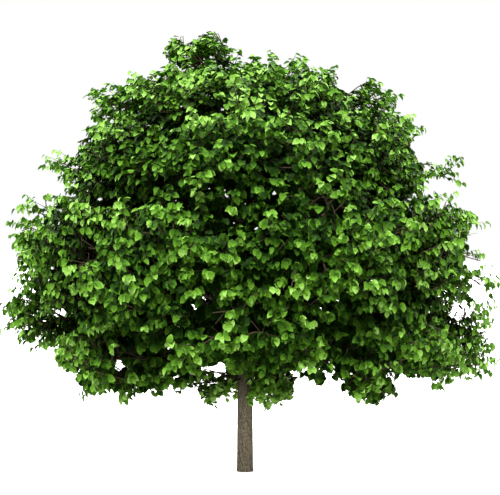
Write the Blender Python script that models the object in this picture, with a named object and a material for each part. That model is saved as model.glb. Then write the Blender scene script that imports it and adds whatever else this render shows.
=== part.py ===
"""A small-leaved lime tree: a clear, straight trunk under a broad dome of foliage.

The trunk stands on its flat cut at the origin.  Rings of tapering boughs leave it,
and each bough carries one mass of foliage: a stem that goes on from the bough's tip,
twigs that branch from that stem, a dense core, and broad leaves that each stand for
a whole spray.  A mass keeps to its own cell of the crown, so no two masses meet.
"""

import math
import random
from collections import namedtuple

import bmesh
import bpy
from mathutils import Matrix, Vector
from mathutils.bvhtree import BVHTree

SEED = 7
UP = Vector((0.0, 0.0, 1.0))

# Sizes of the whole tree and its trunk, in metres

TREE_HEIGHT = 12.0
TRUNK_HEIGHT = 0.775 * TREE_HEIGHT
TRUNK_RADIUS = 0.198
TRUNK_TIP_RADIUS = 0.045
TRUNK_TAPER_POWER = 1.60
TRUNK_TOP_LEAN = -0.35
TRUNK_SIDES = 16
TRUNK_STATIONS = 12
TRUNK_STATION_POWER = 1.6
FLARE_RADIUS = 0.011
FLARE_HEIGHT = 0.12
CROWN_HEART = Vector((0.0, 0.0, 0.375 * TREE_HEIGHT))

# Gaps that neighbouring solids keep

SEAT_GAP = 0.0003
LIMB_CLEARANCE = 0.012
CELL_MARGIN = 0.012
CORE_CLEARANCE = 0.03
CORE_RETREAT = 0.06

# Boughs

BOUGH_SIDES = 6
BOUGH_STATIONS = 5
BOUGH_LEVEL_SHARE = 0.45
COLLAR_SWELL = 0.45
COLLAR_POWER = 6
FOOT_STEP = 0.39
ENTRY_DEPTH = 0.95

# Stems, twigs and cores of the masses

STEM_LEAD = 0.3
TWIGS_PER_MASS = 4
TWIG_SIDES = 3
TWIG_FOOT_RADIUS = 0.042
TWIG_TIP_RADIUS = 0.022
TWIG_REACH = 0.86
TWIG_WAVER = 0.08
TWIG_BEND_SHARE = 0.55
LEADER_RISE = 0.3
PATH_BIAS = 0.35
CORE_SHARE = 0.74
CORE_HALF_DEPTH = 0.82
CORE_ROUGHNESS = 0.12

# Leaves, each as large as the spray it stands for

LEAF_LENGTH = 1.05
LEAF_WIDTH = 0.90
LEAF_THICKNESS = 0.040
LEAF_WIDEST = 0.40
LEAF_SINK = 0.06
LEAF_ROOT_DEPTH = 0.10
LEAF_ROOM = 0.62
LEAF_SHRINKS = (1.0, 0.8, 0.65)
LEAF_SLACK = 1.06
LEAF_SIZE_SPREAD = 0.08
FACE_FROM_MASS = 0.55
FACE_FROM_CROWN = 0.65
FACE_UP = 0.30
FACE_WOBBLE = 0.25
HANG_SPREAD = 0.25
HANG_OUT = 0.35
STAND_OUT = 0.55
TWIG_LEAD = 1.2
SIDE_SWING = 2.5
CORE_SWING = 1.5
CORE_LEAVES = 10
CORE_BACK_LIMIT = -0.25
GOLDEN_TURN = math.pi * (3.0 - math.sqrt(5.0))

BARK_COLOUR = (0.150, 0.125, 0.095, 1.0)
BOUGH_COLOUR = (0.105, 0.085, 0.062, 1.0)
LEAF_COLOUR = (0.085, 0.230, 0.030, 1.0)

# A ring of masses: the distance and height of their centres, how far each reaches
# outwards, sideways, up and down, how steeply its bough comes in, and that bough.
# Lifts, stretches and sizes say how each mass departs from its ring.

Ring = namedtuple(
    "Ring",
    "name count turn distance height radial across tall deep entry facing "
    "foot foot_range rise foot_radius tip_radius lifts stretches sizes",
)

SKIRT = Ring(
    name="skirt", count=8, turn=0.0, distance=4.56, height=3.50,
    radial=2.27, across=2.52, tall=1.77, deep=1.21, entry=5.0, facing=10.0,
    foot=2.80, foot_range=0.55, rise=0.42, foot_radius=0.070, tip_radius=0.040,
    lifts=(-0.10, 0.0, -0.05, 0.0, 0.68, -0.35, 0.45, -0.17),
    stretches=(-0.10, 0.0, 0.0, 0.0, -0.08, -0.62, -0.10, 0.15),
    sizes=(1.05, 1.0, 1.07, 1.0, 0.89, 0.90, 1.05, 0.95),
)
BELT = Ring(
    name="belt", count=8, turn=22.5, distance=4.34, height=5.85,
    radial=2.27, across=2.62, tall=2.07, deep=2.07, entry=25.0, facing=15.0,
    foot=3.70, foot_range=0.75, rise=0.75, foot_radius=0.080, tip_radius=0.045,
    lifts=(0.05, 0.20, -0.30, -0.05, 0.0, -0.35, 0.05, -0.17),
    stretches=(0.0, 0.0, 0.0, 0.05, -0.10, 0.0, 0.0, 0.15),
    sizes=(1.0, 1.08, 1.08, 1.0, 1.0, 1.06, 1.07, 0.95),
)
SHOULDER = Ring(
    name="shoulder", count=6, turn=30.0, distance=3.45, height=8.00,
    radial=2.22, across=2.70, tall=1.97, deep=2.12, entry=40.0, facing=30.0,
    foot=4.95, foot_range=0.85, rise=0.95, foot_radius=0.075, tip_radius=0.040,
    lifts=(0.10, 0.15, 0.0, -0.05, -0.20, -0.05),
    stretches=(0.03, -0.05, 0.0, -0.30, -0.05, -0.10),
    sizes=(1.02, 1.04, 0.96, 0.92, 1.05, 0.92),
)
CREST = Ring(
    name="crest", count=5, turn=18.0, distance=1.84, height=9.65,
    radial=2.26, across=2.32, tall=1.57, deep=1.92, entry=52.0, facing=40.0,
    foot=6.40, foot_range=1.00, rise=1.15, foot_radius=0.046, tip_radius=0.032,
    lifts=(-0.20, 0.0, -0.40, -0.25, -0.10),
    stretches=(0.48, 0.0, 0.35, 0.05, 0.05),
    sizes=(1.0, 1.04, 1.0, 1.0, 1.0),
)
INNER = Ring(
    name="inner", count=3, turn=80.0, distance=1.12, height=2.42,
    radial=0.95, across=0.95, tall=0.62, deep=0.62, entry=0.0, facing=0.0,
    foot=2.50, foot_range=0.12, rise=0.12, foot_radius=0.035, tip_radius=0.030,
    lifts=(0.0, 0.0, 0.0),
    stretches=(0.0, 0.0, 0.0),
    sizes=(1.0, 1.0, 1.0),
)
CAP_RADIUS = 1.28
CAP_RISE = 0.02
CAP_CENTRE = Vector((-1.17, 0.0, TREE_HEIGHT - CAP_RADIUS + CAP_RISE))
CAP_LEADER = Vector((-0.35, 0.0, 1.0))

PLACE_JITTER = 0.12
TURN_JITTER = 3.0

Limb = namedtuple("Limb", "name centres radii sides")
Mass = namedtuple("Mass", "name centre frame radii normal leader bough stem_start")
Core = namedtuple("Core", "centre axes radii planes")


def clear_scene():
    for piece in list(bpy.data.objects):
        bpy.data.objects.remove(piece, do_unlink=True)


def material(name, colour, roughness):
    made = bpy.data.materials.new(name)
    made.use_nodes = True
    shader = made.node_tree.nodes["Principled BSDF"]
    shader.inputs["Base Color"].default_value = colour
    shader.inputs["Roughness"].default_value = roughness
    shader.inputs["Metallic"].default_value = 0.0
    return made


def add_object(name, mesh):
    piece = bpy.data.objects.new(name, mesh)
    bpy.context.scene.collection.objects.link(piece)
    return piece


def mesh_from(work, name):
    mesh = bpy.data.meshes.new(name)
    work.to_mesh(mesh)
    work.free()
    return mesh


def polar(azimuth, distance, height):
    turn = math.radians(azimuth)
    return Vector((distance * math.cos(turn), distance * math.sin(turn), height))


def random_vector(rng):
    return Vector([rng.uniform(-1.0, 1.0) for _ in range(3)])


def sphere_direction(index, count, phase):
    """One of count directions that lie evenly over a sphere."""
    height = 1.0 - (2.0 * index + 1.0) / count
    around = math.sqrt(1.0 - height * height)
    turn = phase + index * GOLDEN_TURN
    return Vector((around * math.cos(turn), around * math.sin(turn), height))


# Limbs


def trunk_centre(height):
    return Vector((TRUNK_TOP_LEAN * (height / TRUNK_HEIGHT) ** 3, 0.0, height))


def trunk_radius(height):
    taper = (TRUNK_RADIUS - TRUNK_TIP_RADIUS) * (height / TRUNK_HEIGHT) ** TRUNK_TAPER_POWER
    return TRUNK_RADIUS - taper + FLARE_RADIUS * math.exp(-height / FLARE_HEIGHT)


def trunk_limb():
    shares = [step / TRUNK_STATIONS for step in range(TRUNK_STATIONS + 1)]
    heights = [TRUNK_HEIGHT * share**TRUNK_STATION_POWER for share in shares]
    centres = [trunk_centre(height) for height in heights]
    radii = [trunk_radius(height) for height in heights]
    return Limb("trunk", centres, radii, TRUNK_SIDES)


def bough_foot(ring, index):
    """The height of a foot steps round the ring, so that neighbours don't meet."""
    return trunk_centre(ring.foot + ring.foot_range * ((index * FOOT_STEP) % 1.0))


def bough_limb(ring, index, azimuth, tip):
    """An arched bough from the trunk's axis to the edge of its mass."""
    foot = bough_foot(ring, index)
    control = foot + polar(azimuth, BOUGH_LEVEL_SHARE * (tip - foot).xy.length, ring.rise)
    centres = []
    radii = []
    for station in range(BOUGH_STATIONS + 1):
        share = station / BOUGH_STATIONS
        centres.append(foot.lerp(control, share).lerp(control.lerp(tip, share), share))
        taper = ring.foot_radius + (ring.tip_radius - ring.foot_radius) * share
        radii.append(taper * (1.0 + COLLAR_SWELL * (1.0 - share) ** COLLAR_POWER))
    return Limb("bough_%s_%d" % (ring.name, index + 1), centres, radii, BOUGH_SIDES)


def sweep(centres, radii, sides):
    """A closed tapering tube: a disc that is extruded from station to station."""
    tube = bmesh.new()
    facing = (centres[1] - centres[0]).normalized()
    turn = facing.to_track_quat("Z", "Y").to_matrix().to_4x4()
    place = Matrix.Translation(centres[0]) @ turn
    bmesh.ops.create_circle(tube, cap_ends=True, segments=sides, radius=radii[0], matrix=place)
    end_face = tube.faces[:][0]
    last = len(centres) - 1
    for station in range(1, last + 1):
        ahead = centres[min(station + 1, last)] - centres[station - 1]
        if station == last:
            ahead = centres[last] - centres[last - 1]
        ahead = ahead.normalized()
        grown = bmesh.ops.extrude_face_region(tube, geom=[end_face])["geom"]
        swing = facing.rotation_difference(ahead).to_matrix()
        scale = radii[station] / radii[station - 1]
        for part in grown:
            if isinstance(part, bmesh.types.BMVert):
                arm = part.co - centres[station - 1]
                part.co = centres[station] + swing @ (arm * scale)
        if station > 1:
            tube.faces.remove(end_face)
        end_face = [part for part in grown if isinstance(part, bmesh.types.BMFace)][0]
        facing = ahead
    bmesh.ops.recalc_face_normals(tube, faces=tube.faces[:])
    return tube


def limb_object(limb, name, fatter=0.0):
    radii = [radius + fatter for radius in limb.radii]
    return add_object(name, mesh_from(sweep(limb.centres, radii, limb.sides), name))


def limb_fence(limb):
    """A search tree of the limb's surface, grown by the clearance that foliage keeps."""
    radii = [radius + LIMB_CLEARANCE for radius in limb.radii]
    tube = sweep(limb.centres, radii, limb.sides)
    fence = BVHTree.FromBMesh(tube)
    tube.free()
    return fence


# Joining and cutting


def apply_boolean(piece, operation, other=None, group=None, solver="EXACT"):
    cut = piece.modifiers.new("join", "BOOLEAN")
    cut.operation = operation
    cut.solver = solver
    if group is None:
        cut.object = other
    else:
        cut.operand_type = "COLLECTION"
        cut.collection = group
    with bpy.context.temp_override(object=piece, active_object=piece):
        bpy.ops.object.modifier_apply(modifier=cut.name)


def body_of(face, left):
    """All faces of the set left that hang together with one face."""
    body = [face]
    left.remove(face)
    for member in body:
        for edge in member.edges:
            for neighbour in edge.link_faces:
                if neighbour in left:
                    left.remove(neighbour)
                    body.append(neighbour)
    return body


def keep_main_body(piece):
    """Drops scraps and sealed hollows, and says whether what stays is closed."""
    work = bmesh.new()
    work.from_mesh(piece.data)
    bmesh.ops.remove_doubles(work, verts=work.verts[:], dist=SEAT_GAP / 15.0)
    bmesh.ops.triangulate(work, faces=work.faces[:])
    left = set(work.faces)
    bodies = []
    while left:
        bodies.append(body_of(next(iter(left)), left))
    bodies.sort(key=len)
    loose = [face for body in bodies[:-1] for face in body]
    bmesh.ops.delete(work, geom=loose, context="FACES")
    work.to_mesh(piece.data)
    closed = all(len(edge.link_faces) == 2 for edge in work.edges)
    work.free()
    return closed


def cut_clear_of_trunk(piece, trunk):
    """Takes away what lies inside the trunk, and the seat's gap with it."""
    cutter = limb_object(trunk, "trunk_cutter", SEAT_GAP)
    cutter.hide_render = True
    cutter.display_type = "WIRE"
    apply_boolean(piece, "DIFFERENCE", other=cutter)
    bpy.data.objects.remove(cutter, do_unlink=True)
    keep_main_body(piece)


def join_all(name, core_mesh, meshes):
    """One union of a core with all the pieces that stand out of it."""
    piece = add_object(name, core_mesh)
    untouched = core_mesh.copy()
    group = bpy.data.collections.new("joined_" + name)
    for mesh in meshes:
        group.objects.link(bpy.data.objects.new("joined", mesh))
    apply_boolean(piece, "UNION", group=group)
    if not keep_main_body(piece):
        piece.data = untouched
        apply_boolean(piece, "UNION", group=group, solver="MANIFOLD")
        print(name, "joined by the second solver, closed:", keep_main_body(piece))
    for part in list(group.objects):
        bpy.data.objects.remove(part, do_unlink=True)
    bpy.data.collections.remove(group)
    return piece


# The crown's masses and the cell that each one keeps to


def ring_mass(ring, index, rng):
    azimuth = ring.turn + 360.0 * index / ring.count + rng.uniform(-1, 1) * TURN_JITTER
    distance = ring.distance + ring.stretches[index] + rng.uniform(-1, 1) * PLACE_JITTER
    height = ring.height + ring.lifts[index] + rng.uniform(-1, 1) * PLACE_JITTER
    centre = polar(azimuth, distance, height)
    outward = polar(azimuth, 1.0, 0.0)
    frame = (outward, UP.cross(outward), UP)
    size = ring.sizes[index]
    radii = (size * ring.radial, size * ring.across, size * ring.tall, size * ring.deep)
    facing = math.radians(ring.facing)
    normal = math.cos(facing) * outward + math.sin(facing) * UP
    leader = (outward + LEADER_RISE * normal).normalized()
    name = "foliage_%s_%d" % (ring.name, index + 1)
    if ring is INNER:
        start = bough_foot(ring, index)
        middle = start.lerp(centre, 0.5) + ring.rise * UP
        return Mass(name, centre, frame, radii, normal, leader, None, (start, middle))
    entry = math.radians(ring.entry)
    inward = math.cos(entry) * radii[0] * outward + math.sin(entry) * radii[3] * UP
    bough = bough_limb(ring, index, azimuth, centre - ENTRY_DEPTH * inward)
    return Mass(name, centre, frame, radii, normal, leader, bough, limb_lead(bough))


def limb_lead(limb):
    """Where a stem goes on from a limb's tip: just clear of it, and then straight on."""
    tip = limb.centres[-1]
    way = (tip - limb.centres[-2]).normalized()
    return tip + way * SEAT_GAP, tip + way * STEM_LEAD


def crown_masses(trunk):
    rng = random.Random(SEED)
    rings = (SKIRT, BELT, SHOULDER, CREST, INNER)
    masses = [ring_mass(ring, index, rng) for ring in rings for index in range(ring.count)]
    frame = (Vector((1, 0, 0)), Vector((0, 1, 0)), UP)
    leader = CAP_LEADER.normalized()
    radii = (CAP_RADIUS,) * 4
    lead = limb_lead(trunk)
    masses.append(Mass("foliage_cap", CAP_CENTRE, frame, radii, UP, leader, None, lead))
    return masses


def mean_radius(mass):
    return sum(mass.radii) / len(mass.radii)


def cell_planes(mass, masses):
    """The planes between this mass and its neighbours, as outward normal and offset."""
    planes = []
    for other in masses:
        gap = other.centre - mass.centre
        if other is mass or gap.length > max(mass.radii) + max(other.radii) + CORE_RETREAT:
            continue
        weight = mean_radius(mass) ** 2 - mean_radius(other) ** 2
        middle = (gap.length_squared + weight) / (2.0 * gap.length)
        normal = gap.normalized()
        planes.append((normal, normal.dot(mass.centre) + middle - CELL_MARGIN))
    return planes


def limb_planes(centre, limbs):
    """Planes that keep a core clear of every stretch of limb that passes it."""
    planes = []
    for limb in limbs:
        for start in range(len(limb.centres) - 1):
            first = limb.centres[start]
            run = limb.centres[start + 1] - first
            share = max(0.0, min(1.0, (centre - first).dot(run) / run.length_squared))
            nearest = first + share * run
            normal = (nearest - centre).normalized()
            radius = max(limb.radii[start], limb.radii[start + 1])
            planes.append((normal, normal.dot(nearest) - radius - CORE_CLEARANCE))
    return planes


def shape_length(mass, arm):
    """The arm's length in units of the mass's own rounded reach that way."""
    upright = mass.radii[2] if arm.z > 0.0 else mass.radii[3]
    sizes = (mass.radii[0], mass.radii[1], upright)
    return math.sqrt(sum((arm.dot(axis) / size) ** 2 for axis, size in zip(mass.frame, sizes)))


def cut_by_planes(centre, way, reach, planes):
    for normal, offset in planes:
        rate = normal.dot(way)
        if rate > 1e-6:
            reach = min(reach, (offset - normal.dot(centre)) / rate)
    return max(reach, CORE_CLEARANCE)


def holds(mass, planes, point, slack):
    if point.z < 0.0 or shape_length(mass, point - mass.centre) > slack:
        return False
    return all(normal.dot(point) <= offset for normal, offset in planes)


def mass_core(mass, planes, limbs):
    """The dense middle of a mass: a thick lens that faces out of the crown."""
    side = mass.frame[1]
    rise = mass.normal.cross(side)
    upright = 0.5 * (mass.radii[2] + mass.radii[3])
    depth = CORE_HALF_DEPTH * min(1.0, mean_radius(mass) / CAP_RADIUS)
    radii = (depth, CORE_SHARE * mass.radii[1], CORE_SHARE * upright)
    offset = max(0.0, 1.0 / shape_length(mass, mass.normal) - depth - LEAF_ROOM)
    centre = mass.centre + mass.normal * offset
    inner_planes = [(normal, offset - CORE_RETREAT) for normal, offset in planes]
    return Core(centre, (mass.normal, side, rise), radii, inner_planes + limb_planes(centre, limbs))


def core_point(core, unit, share=1.0):
    """The core's surface in the direction that one point of a unit ball is moved to."""
    arm = Vector()
    for part, axis, radius in zip(unit, core.axes, core.radii):
        arm += part * radius * axis
    reach = cut_by_planes(core.centre, arm.normalized(), arm.length * share, core.planes)
    return core.centre + arm.normalized() * reach


def core_mesh(core, rng):
    ball = bmesh.new()
    bmesh.ops.create_icosphere(ball, subdivisions=2, radius=1.0)
    for corner in ball.verts:
        share = 1.0 + rng.uniform(-1, 1) * CORE_ROUGHNESS
        corner.co = core_point(core, corner.co.normalized(), share)
    bmesh.ops.recalc_face_normals(ball, faces=ball.faces[:])
    return mesh_from(ball, "core")


# Twigs and leaves


def fits(mass, planes, mesh, fences, slack=1.0):
    """Whether a piece stays in its mass's space and touches no limb."""
    if not all(holds(mass, planes, corner.co, slack) for corner in mesh.vertices):
        return False
    points = [corner.co[:] for corner in mesh.vertices]
    own = BVHTree.FromPolygons(points, [face.vertices[:] for face in mesh.polygons])
    return not any(own.overlap(fence) for fence in fences)


def twig_targets(mass, planes, rng):
    """Points near the edge of the mass's space, the leader's first."""
    phase = rng.uniform(0.0, 2.0 * math.pi)
    count = 4 * TWIGS_PER_MASS
    ways = [sphere_direction(index, count, phase) for index in range(count)]
    ways = [way for way in ways if way.dot(mass.normal) > 0.0]
    rng.shuffle(ways)
    targets = []
    wanted = round(TWIGS_PER_MASS * min(1.0, mean_radius(mass) / CAP_RADIUS))
    for way in [mass.leader] + ways[: wanted - 1]:
        reach = cut_by_planes(mass.centre, way, 1.0 / shape_length(mass, way), planes)
        targets.append(mass.centre + way * reach * TWIG_REACH)
    return targets


def grow_twigs(mass, planes, stem, fences, rng):
    """Each point joins the twig or stem that gives the shortest way back to the foot."""
    nodes = [(stem[0], 0.0)]
    for point in stem[1:]:
        nodes.append((point, nodes[-1][1] + (point - nodes[-1][0]).length))
    twigs = []
    targets = twig_targets(mass, planes, rng)
    targets.sort(key=lambda point: (point - stem[0]).length)
    for target in targets:
        start, way_back = min(
            nodes, key=lambda node: (target - node[0]).length + PATH_BIAS * node[1]
        )
        middle = start.lerp(target, TWIG_BEND_SHARE) + TWIG_WAVER * random_vector(rng)
        waist = 0.5 * (TWIG_FOOT_RADIUS + TWIG_TIP_RADIUS)
        radii = (TWIG_FOOT_RADIUS, waist, TWIG_TIP_RADIUS)
        mesh = mesh_from(sweep((start, middle, target), radii, TWIG_SIDES), "twig")
        if fits(mass, planes, mesh, fences):
            nodes.append((middle, way_back + (middle - start).length))
            twigs.append((mesh, middle, target))
    return twigs


def leaf_template():
    """A kite-shaped leaf of eight faces, one unit long, from its root along +X."""
    half = LEAF_WIDTH / LEAF_LENGTH / 2.0
    thick = LEAF_THICKNESS / LEAF_LENGTH / 2.0
    kite = bmesh.new()
    for corner in ((0, 0, 0), (1, 0, 0)):
        kite.verts.new(corner)
    for side in (1, -1):
        kite.verts.new((LEAF_WIDEST, side * half, 0))
        kite.verts.new((LEAF_WIDEST, 0, side * thick))
    bmesh.ops.convex_hull(kite, input=kite.verts[:])
    bmesh.ops.recalc_face_normals(kite, faces=kite.faces[:])
    return mesh_from(kite, "leaf_template")


def leaf_pose(mass, root, spread, lead, rng):
    """A leaf faces out of the crown and hangs, swung sideways by spread or led by a twig."""
    from_mass = (root - mass.centre).normalized()
    from_crown = (root - CROWN_HEART).normalized()
    face = FACE_FROM_MASS * from_mass + FACE_FROM_CROWN * from_crown
    face += FACE_UP * UP + FACE_WOBBLE * random_vector(rng)
    face.normalize()
    sideways = from_crown.cross(UP).normalized()
    hang = HANG_SPREAD * spread * sideways + HANG_OUT * from_crown - UP
    hang -= hang.dot(face) * face
    along = (hang.normalized() + STAND_OUT * from_mass + lead).normalized()
    side = face.cross(along).normalized()
    return along, side, along.cross(side)


def leaf_mesh(template, root, pose, length):
    turn = Matrix(pose).transposed().to_4x4()
    mesh = template.copy()
    mesh.transform(Matrix.Translation(root) @ turn @ Matrix.Scale(length, 4))
    return mesh


def leaf_that_fits(mass, planes, template, root, spread, lead, fences, rng):
    """Tries one leaf at a root, smaller and smaller, and gives None if none fits."""
    for shrink in LEAF_SHRINKS:
        pose = leaf_pose(mass, root, spread, lead, rng)
        length = LEAF_LENGTH * shrink * (1.0 + LEAF_SIZE_SPREAD * rng.uniform(-1, 1))
        mesh = leaf_mesh(template, root, pose, length)
        if fits(mass, planes, mesh, fences, LEAF_SLACK):
            return mesh
        bpy.data.meshes.remove(mesh)
    return None


def grow_leaves(mass, planes, core, twigs, template, fences, rng):
    """Leaves at each twig's end and side, and out of the core between the twigs."""
    roots = []
    for _, middle, target in twigs:
        way = (target - middle).normalized()
        roots.append((target - way * LEAF_SINK, rng.uniform(-1, 1), TWIG_LEAD * way))
        beside = middle.lerp(target, rng.uniform(0.45, 0.75))
        roots.append((beside, rng.choice((-SIDE_SWING, SIDE_SWING)), Vector()))
    phase = rng.uniform(0.0, 2.0 * math.pi)
    count = 3 * CORE_LEAVES
    units = [sphere_direction(index, count, phase) for index in range(count)]
    units = [unit for unit in units if unit.x > CORE_BACK_LIMIT]
    rng.shuffle(units)
    for unit in units:
        surface = core_point(core, unit)
        inward = (core.centre - surface).normalized()
        swing = CORE_SWING * rng.uniform(-1, 1)
        roots.append((surface + inward * LEAF_ROOT_DEPTH, swing, Vector()))
    wanted = 2 * len(twigs) + CORE_LEAVES
    leaves = []
    for root, spread, lead in roots:
        leaf = leaf_that_fits(mass, planes, template, root, spread, lead, fences, rng)
        if leaf is not None and len(leaves) < wanted:
            leaves.append(leaf)
    return leaves


def mass_object(mass, masses, limbs, fences, template, seed):
    rng = random.Random(seed)
    planes = cell_planes(mass, masses)
    core = mass_core(mass, planes, limbs)
    stem = (mass.stem_start[0], mass.stem_start[1], core.centre)
    if mass.bough is not None:
        radius = mass.bough.radii[-1]
    elif mass.name == "foliage_cap":
        radius = TRUNK_TIP_RADIUS
    else:
        radius = INNER.foot_radius
    radii = (radius, 0.9 * radius, 0.7 * radius)
    pieces = [mesh_from(sweep(stem, radii, BOUGH_SIDES), "stem")]
    twigs = grow_twigs(mass, planes, stem[1:], fences, rng)
    pieces += [twig[0] for twig in twigs]
    leaves = grow_leaves(mass, planes, core, twigs, template, fences, rng)
    piece = join_all(mass.name, core_mesh(core, rng), pieces + leaves)
    if mass.bough is None and mass.name != "foliage_cap":
        cut_clear_of_trunk(piece, limbs[0])
    print(mass.name, len(twigs), "twigs", len(leaves), "leaves", len(piece.data.polygons), "faces")
    return piece


def finish(piece, look, smooth_angle=None):
    piece.data.materials.clear()
    piece.data.materials.append(look)
    if smooth_angle is not None:
        piece.data.shade_smooth()
        piece.data.set_sharp_from_angle(angle=math.radians(smooth_angle))


def main():
    clear_scene()
    trunk = trunk_limb()
    masses = crown_masses(trunk)
    boughs = [mass.bough for mass in masses if mass.bough is not None]
    limbs = [trunk] + boughs
    fences = [limb_fence(limb) for limb in limbs]
    finish(limb_object(trunk, "trunk"), material("trunk_bark", BARK_COLOUR, 0.9), 40.0)
    for bough in boughs:
        piece = limb_object(bough, bough.name)
        cut_clear_of_trunk(piece, trunk)
        finish(piece, material(bough.name + "_bark", BOUGH_COLOUR, 0.9), 40.0)
    template = leaf_template()
    for index, mass in enumerate(masses):
        piece = mass_object(mass, masses, limbs, fences, template, SEED * 1000 + index)
        finish(piece, material(mass.name + "_leaves", LEAF_COLOUR, 0.6))
    total = sum(len(piece.data.polygons) for piece in bpy.data.objects)
    print(len(bpy.data.objects), "pieces,", total, "faces")


main()
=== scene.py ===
# %% [markdown]
# # A small-leaved lime tree
# The tree stands here already as plain solids: a trunk, twenty-seven boughs and thirty-one masses
# of foliage, each a closed lump in its own part of the crown. They have the right places and
# sizes, but no bark, no fine twigs and no leaf of a true size. This lesson grows those. Every
# limb follows the same arch as its solid, and every mass grows its twigs by the rule that shaped
# its solid, carried further: first twigs, then shoots, then leaves.

# %% Load the plain solids
import math
import random
from collections import namedtuple

import bpy
import numpy as np
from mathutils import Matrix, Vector, noise


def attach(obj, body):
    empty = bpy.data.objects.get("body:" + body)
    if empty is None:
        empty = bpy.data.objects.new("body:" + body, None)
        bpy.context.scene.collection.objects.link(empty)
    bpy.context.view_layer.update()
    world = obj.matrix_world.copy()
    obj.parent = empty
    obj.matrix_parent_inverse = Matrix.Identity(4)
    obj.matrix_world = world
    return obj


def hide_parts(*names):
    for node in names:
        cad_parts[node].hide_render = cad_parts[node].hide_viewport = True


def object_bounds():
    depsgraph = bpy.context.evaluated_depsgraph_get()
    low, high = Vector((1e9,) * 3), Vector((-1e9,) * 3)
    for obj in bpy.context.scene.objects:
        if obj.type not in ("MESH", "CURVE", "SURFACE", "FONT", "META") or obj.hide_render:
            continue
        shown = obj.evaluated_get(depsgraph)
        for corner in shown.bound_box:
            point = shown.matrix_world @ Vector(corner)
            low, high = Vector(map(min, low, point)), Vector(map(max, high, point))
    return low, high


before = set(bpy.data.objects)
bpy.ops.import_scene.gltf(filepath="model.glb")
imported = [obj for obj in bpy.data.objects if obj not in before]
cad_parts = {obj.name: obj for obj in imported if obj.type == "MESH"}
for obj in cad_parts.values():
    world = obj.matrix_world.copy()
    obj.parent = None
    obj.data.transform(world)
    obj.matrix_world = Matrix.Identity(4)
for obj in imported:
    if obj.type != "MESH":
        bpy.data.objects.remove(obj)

cad_low, cad_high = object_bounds()
print("solids", len(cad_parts), "box", tuple(cad_low), tuple(cad_high))

# %% [markdown]
# ## The camera
# The tree is seen from the side, from so far away that its trunk and crown hardly converge. A
# long lens at forty metres gives that. The camera looks level, at half the tree's height, so
# nothing has to be tilted or shifted.

# %% Camera
SENSOR_WIDTH = 36.0
IMAGE_WIDTH_PIXELS = 500
FOCAL_PIXELS = 1500
CAMERA_PLACE = (0.134, -40.18, 5.987)
CLIP_END = 1000.0

bpy.ops.object.camera_add(location=CAMERA_PLACE, rotation=(math.radians(90.0), 0.0, 0.0))
camera = bpy.context.object
camera.data.sensor_width = SENSOR_WIDTH
camera.data.lens = SENSOR_WIDTH * FOCAL_PIXELS / IMAGE_WIDTH_PIXELS
camera.data.clip_end = CLIP_END
bpy.context.scene.camera = camera
print("lens", camera.data.lens)

# %% [markdown]
# ## The studio
# A tree cut out on white needs a bright, plain surrounding. The world is white where the camera
# sees it and weaker as a lamp, because a crown that is lit evenly from all sides loses the dark
# pockets between its sprays. It glows more from behind and from the sides than from the camera's
# side, which gives the rim of the crown its light. A sun with slightly soft shadows, from above
# the camera's left shoulder, gives the leaves their light side and lights the near and the far
# floor alike, so no horizon shows. It can't reach the stem under the crown, which gets a low
# lamp of its own with a narrow cone. The floor is pale with light of its own, which keeps the
# tree's shadow faint, but what it throws back up into the crown is held low, so that the
# underside of the leaves stays dark.

# %% World, lamps and floor
SKY_SEEN = 1.0
SKY_LIGHT_FRONT = 0.05
SKY_LIGHT_BACK = 3.90
SKY_TURN_FRONT = -0.30
SKY_TURN_BACK = 0.15
KEY_HEIGHT_DEGREES = 60.0
KEY_TURN_DEGREES = -16.0
KEY_SOFTNESS_DEGREES = 4.0
KEY_STRENGTH = 4.6
KEY_PLACE = (0.0, 0.0, 20.0)
STEM_LAMP_PLACE = (0.0, -20.0, 1.2)
STEM_LAMP_AIM = (0.0, 0.0, 0.6)
STEM_LAMP_ANGLE_DEGREES = 9.5
STEM_LAMP_POWER = 15500.0
STEM_LAMP_BLEND = 0.7
STEM_LAMP_SIZE = 0.8
FLOOR_GLOW = 0.92
FLOOR_BOUNCE = 0.40
FLOOR_RADIUS = 600.0
FLOOR_SIDES = 96
FLOOR_COLOUR = (0.86, 0.86, 0.86)
FLOOR_ROUGHNESS = 0.9
PLAIN_WHITE = (1.0, 1.0, 1.0, 1.0)

world = bpy.data.worlds.new("white_studio")
bpy.context.scene.world = world
world.use_nodes = True
sky_nodes = world.node_tree.nodes
sky_links = world.node_tree.links
seen = sky_nodes["Background"]
seen.inputs["Color"].default_value = PLAIN_WHITE
seen.inputs["Strength"].default_value = SKY_SEEN
glow = sky_nodes.new("ShaderNodeBackground")
glow.inputs["Color"].default_value = PLAIN_WHITE
sky_way = sky_nodes.new("ShaderNodeTexCoord")
sky_parts = sky_nodes.new("ShaderNodeSeparateXYZ")
sky_share = sky_nodes.new("ShaderNodeMapRange")
sky_share.inputs["From Min"].default_value = SKY_TURN_FRONT
sky_share.inputs["From Max"].default_value = SKY_TURN_BACK
sky_share.inputs["To Min"].default_value = SKY_LIGHT_FRONT
sky_share.inputs["To Max"].default_value = SKY_LIGHT_BACK
sky_links.new(sky_way.outputs["Generated"], sky_parts.inputs["Vector"])
sky_links.new(sky_parts.outputs["Y"], sky_share.inputs["Value"])
sky_links.new(sky_share.outputs["Result"], glow.inputs["Strength"])
which_ray = sky_nodes.new("ShaderNodeLightPath")
either = sky_nodes.new("ShaderNodeMixShader")
sky_links.new(which_ray.outputs["Is Camera Ray"], either.inputs["Fac"])
sky_links.new(glow.outputs["Background"], either.inputs[1])
sky_links.new(seen.outputs["Background"], either.inputs[2])
sky_links.new(either.outputs["Shader"], sky_nodes["World Output"].inputs["Surface"])

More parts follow.
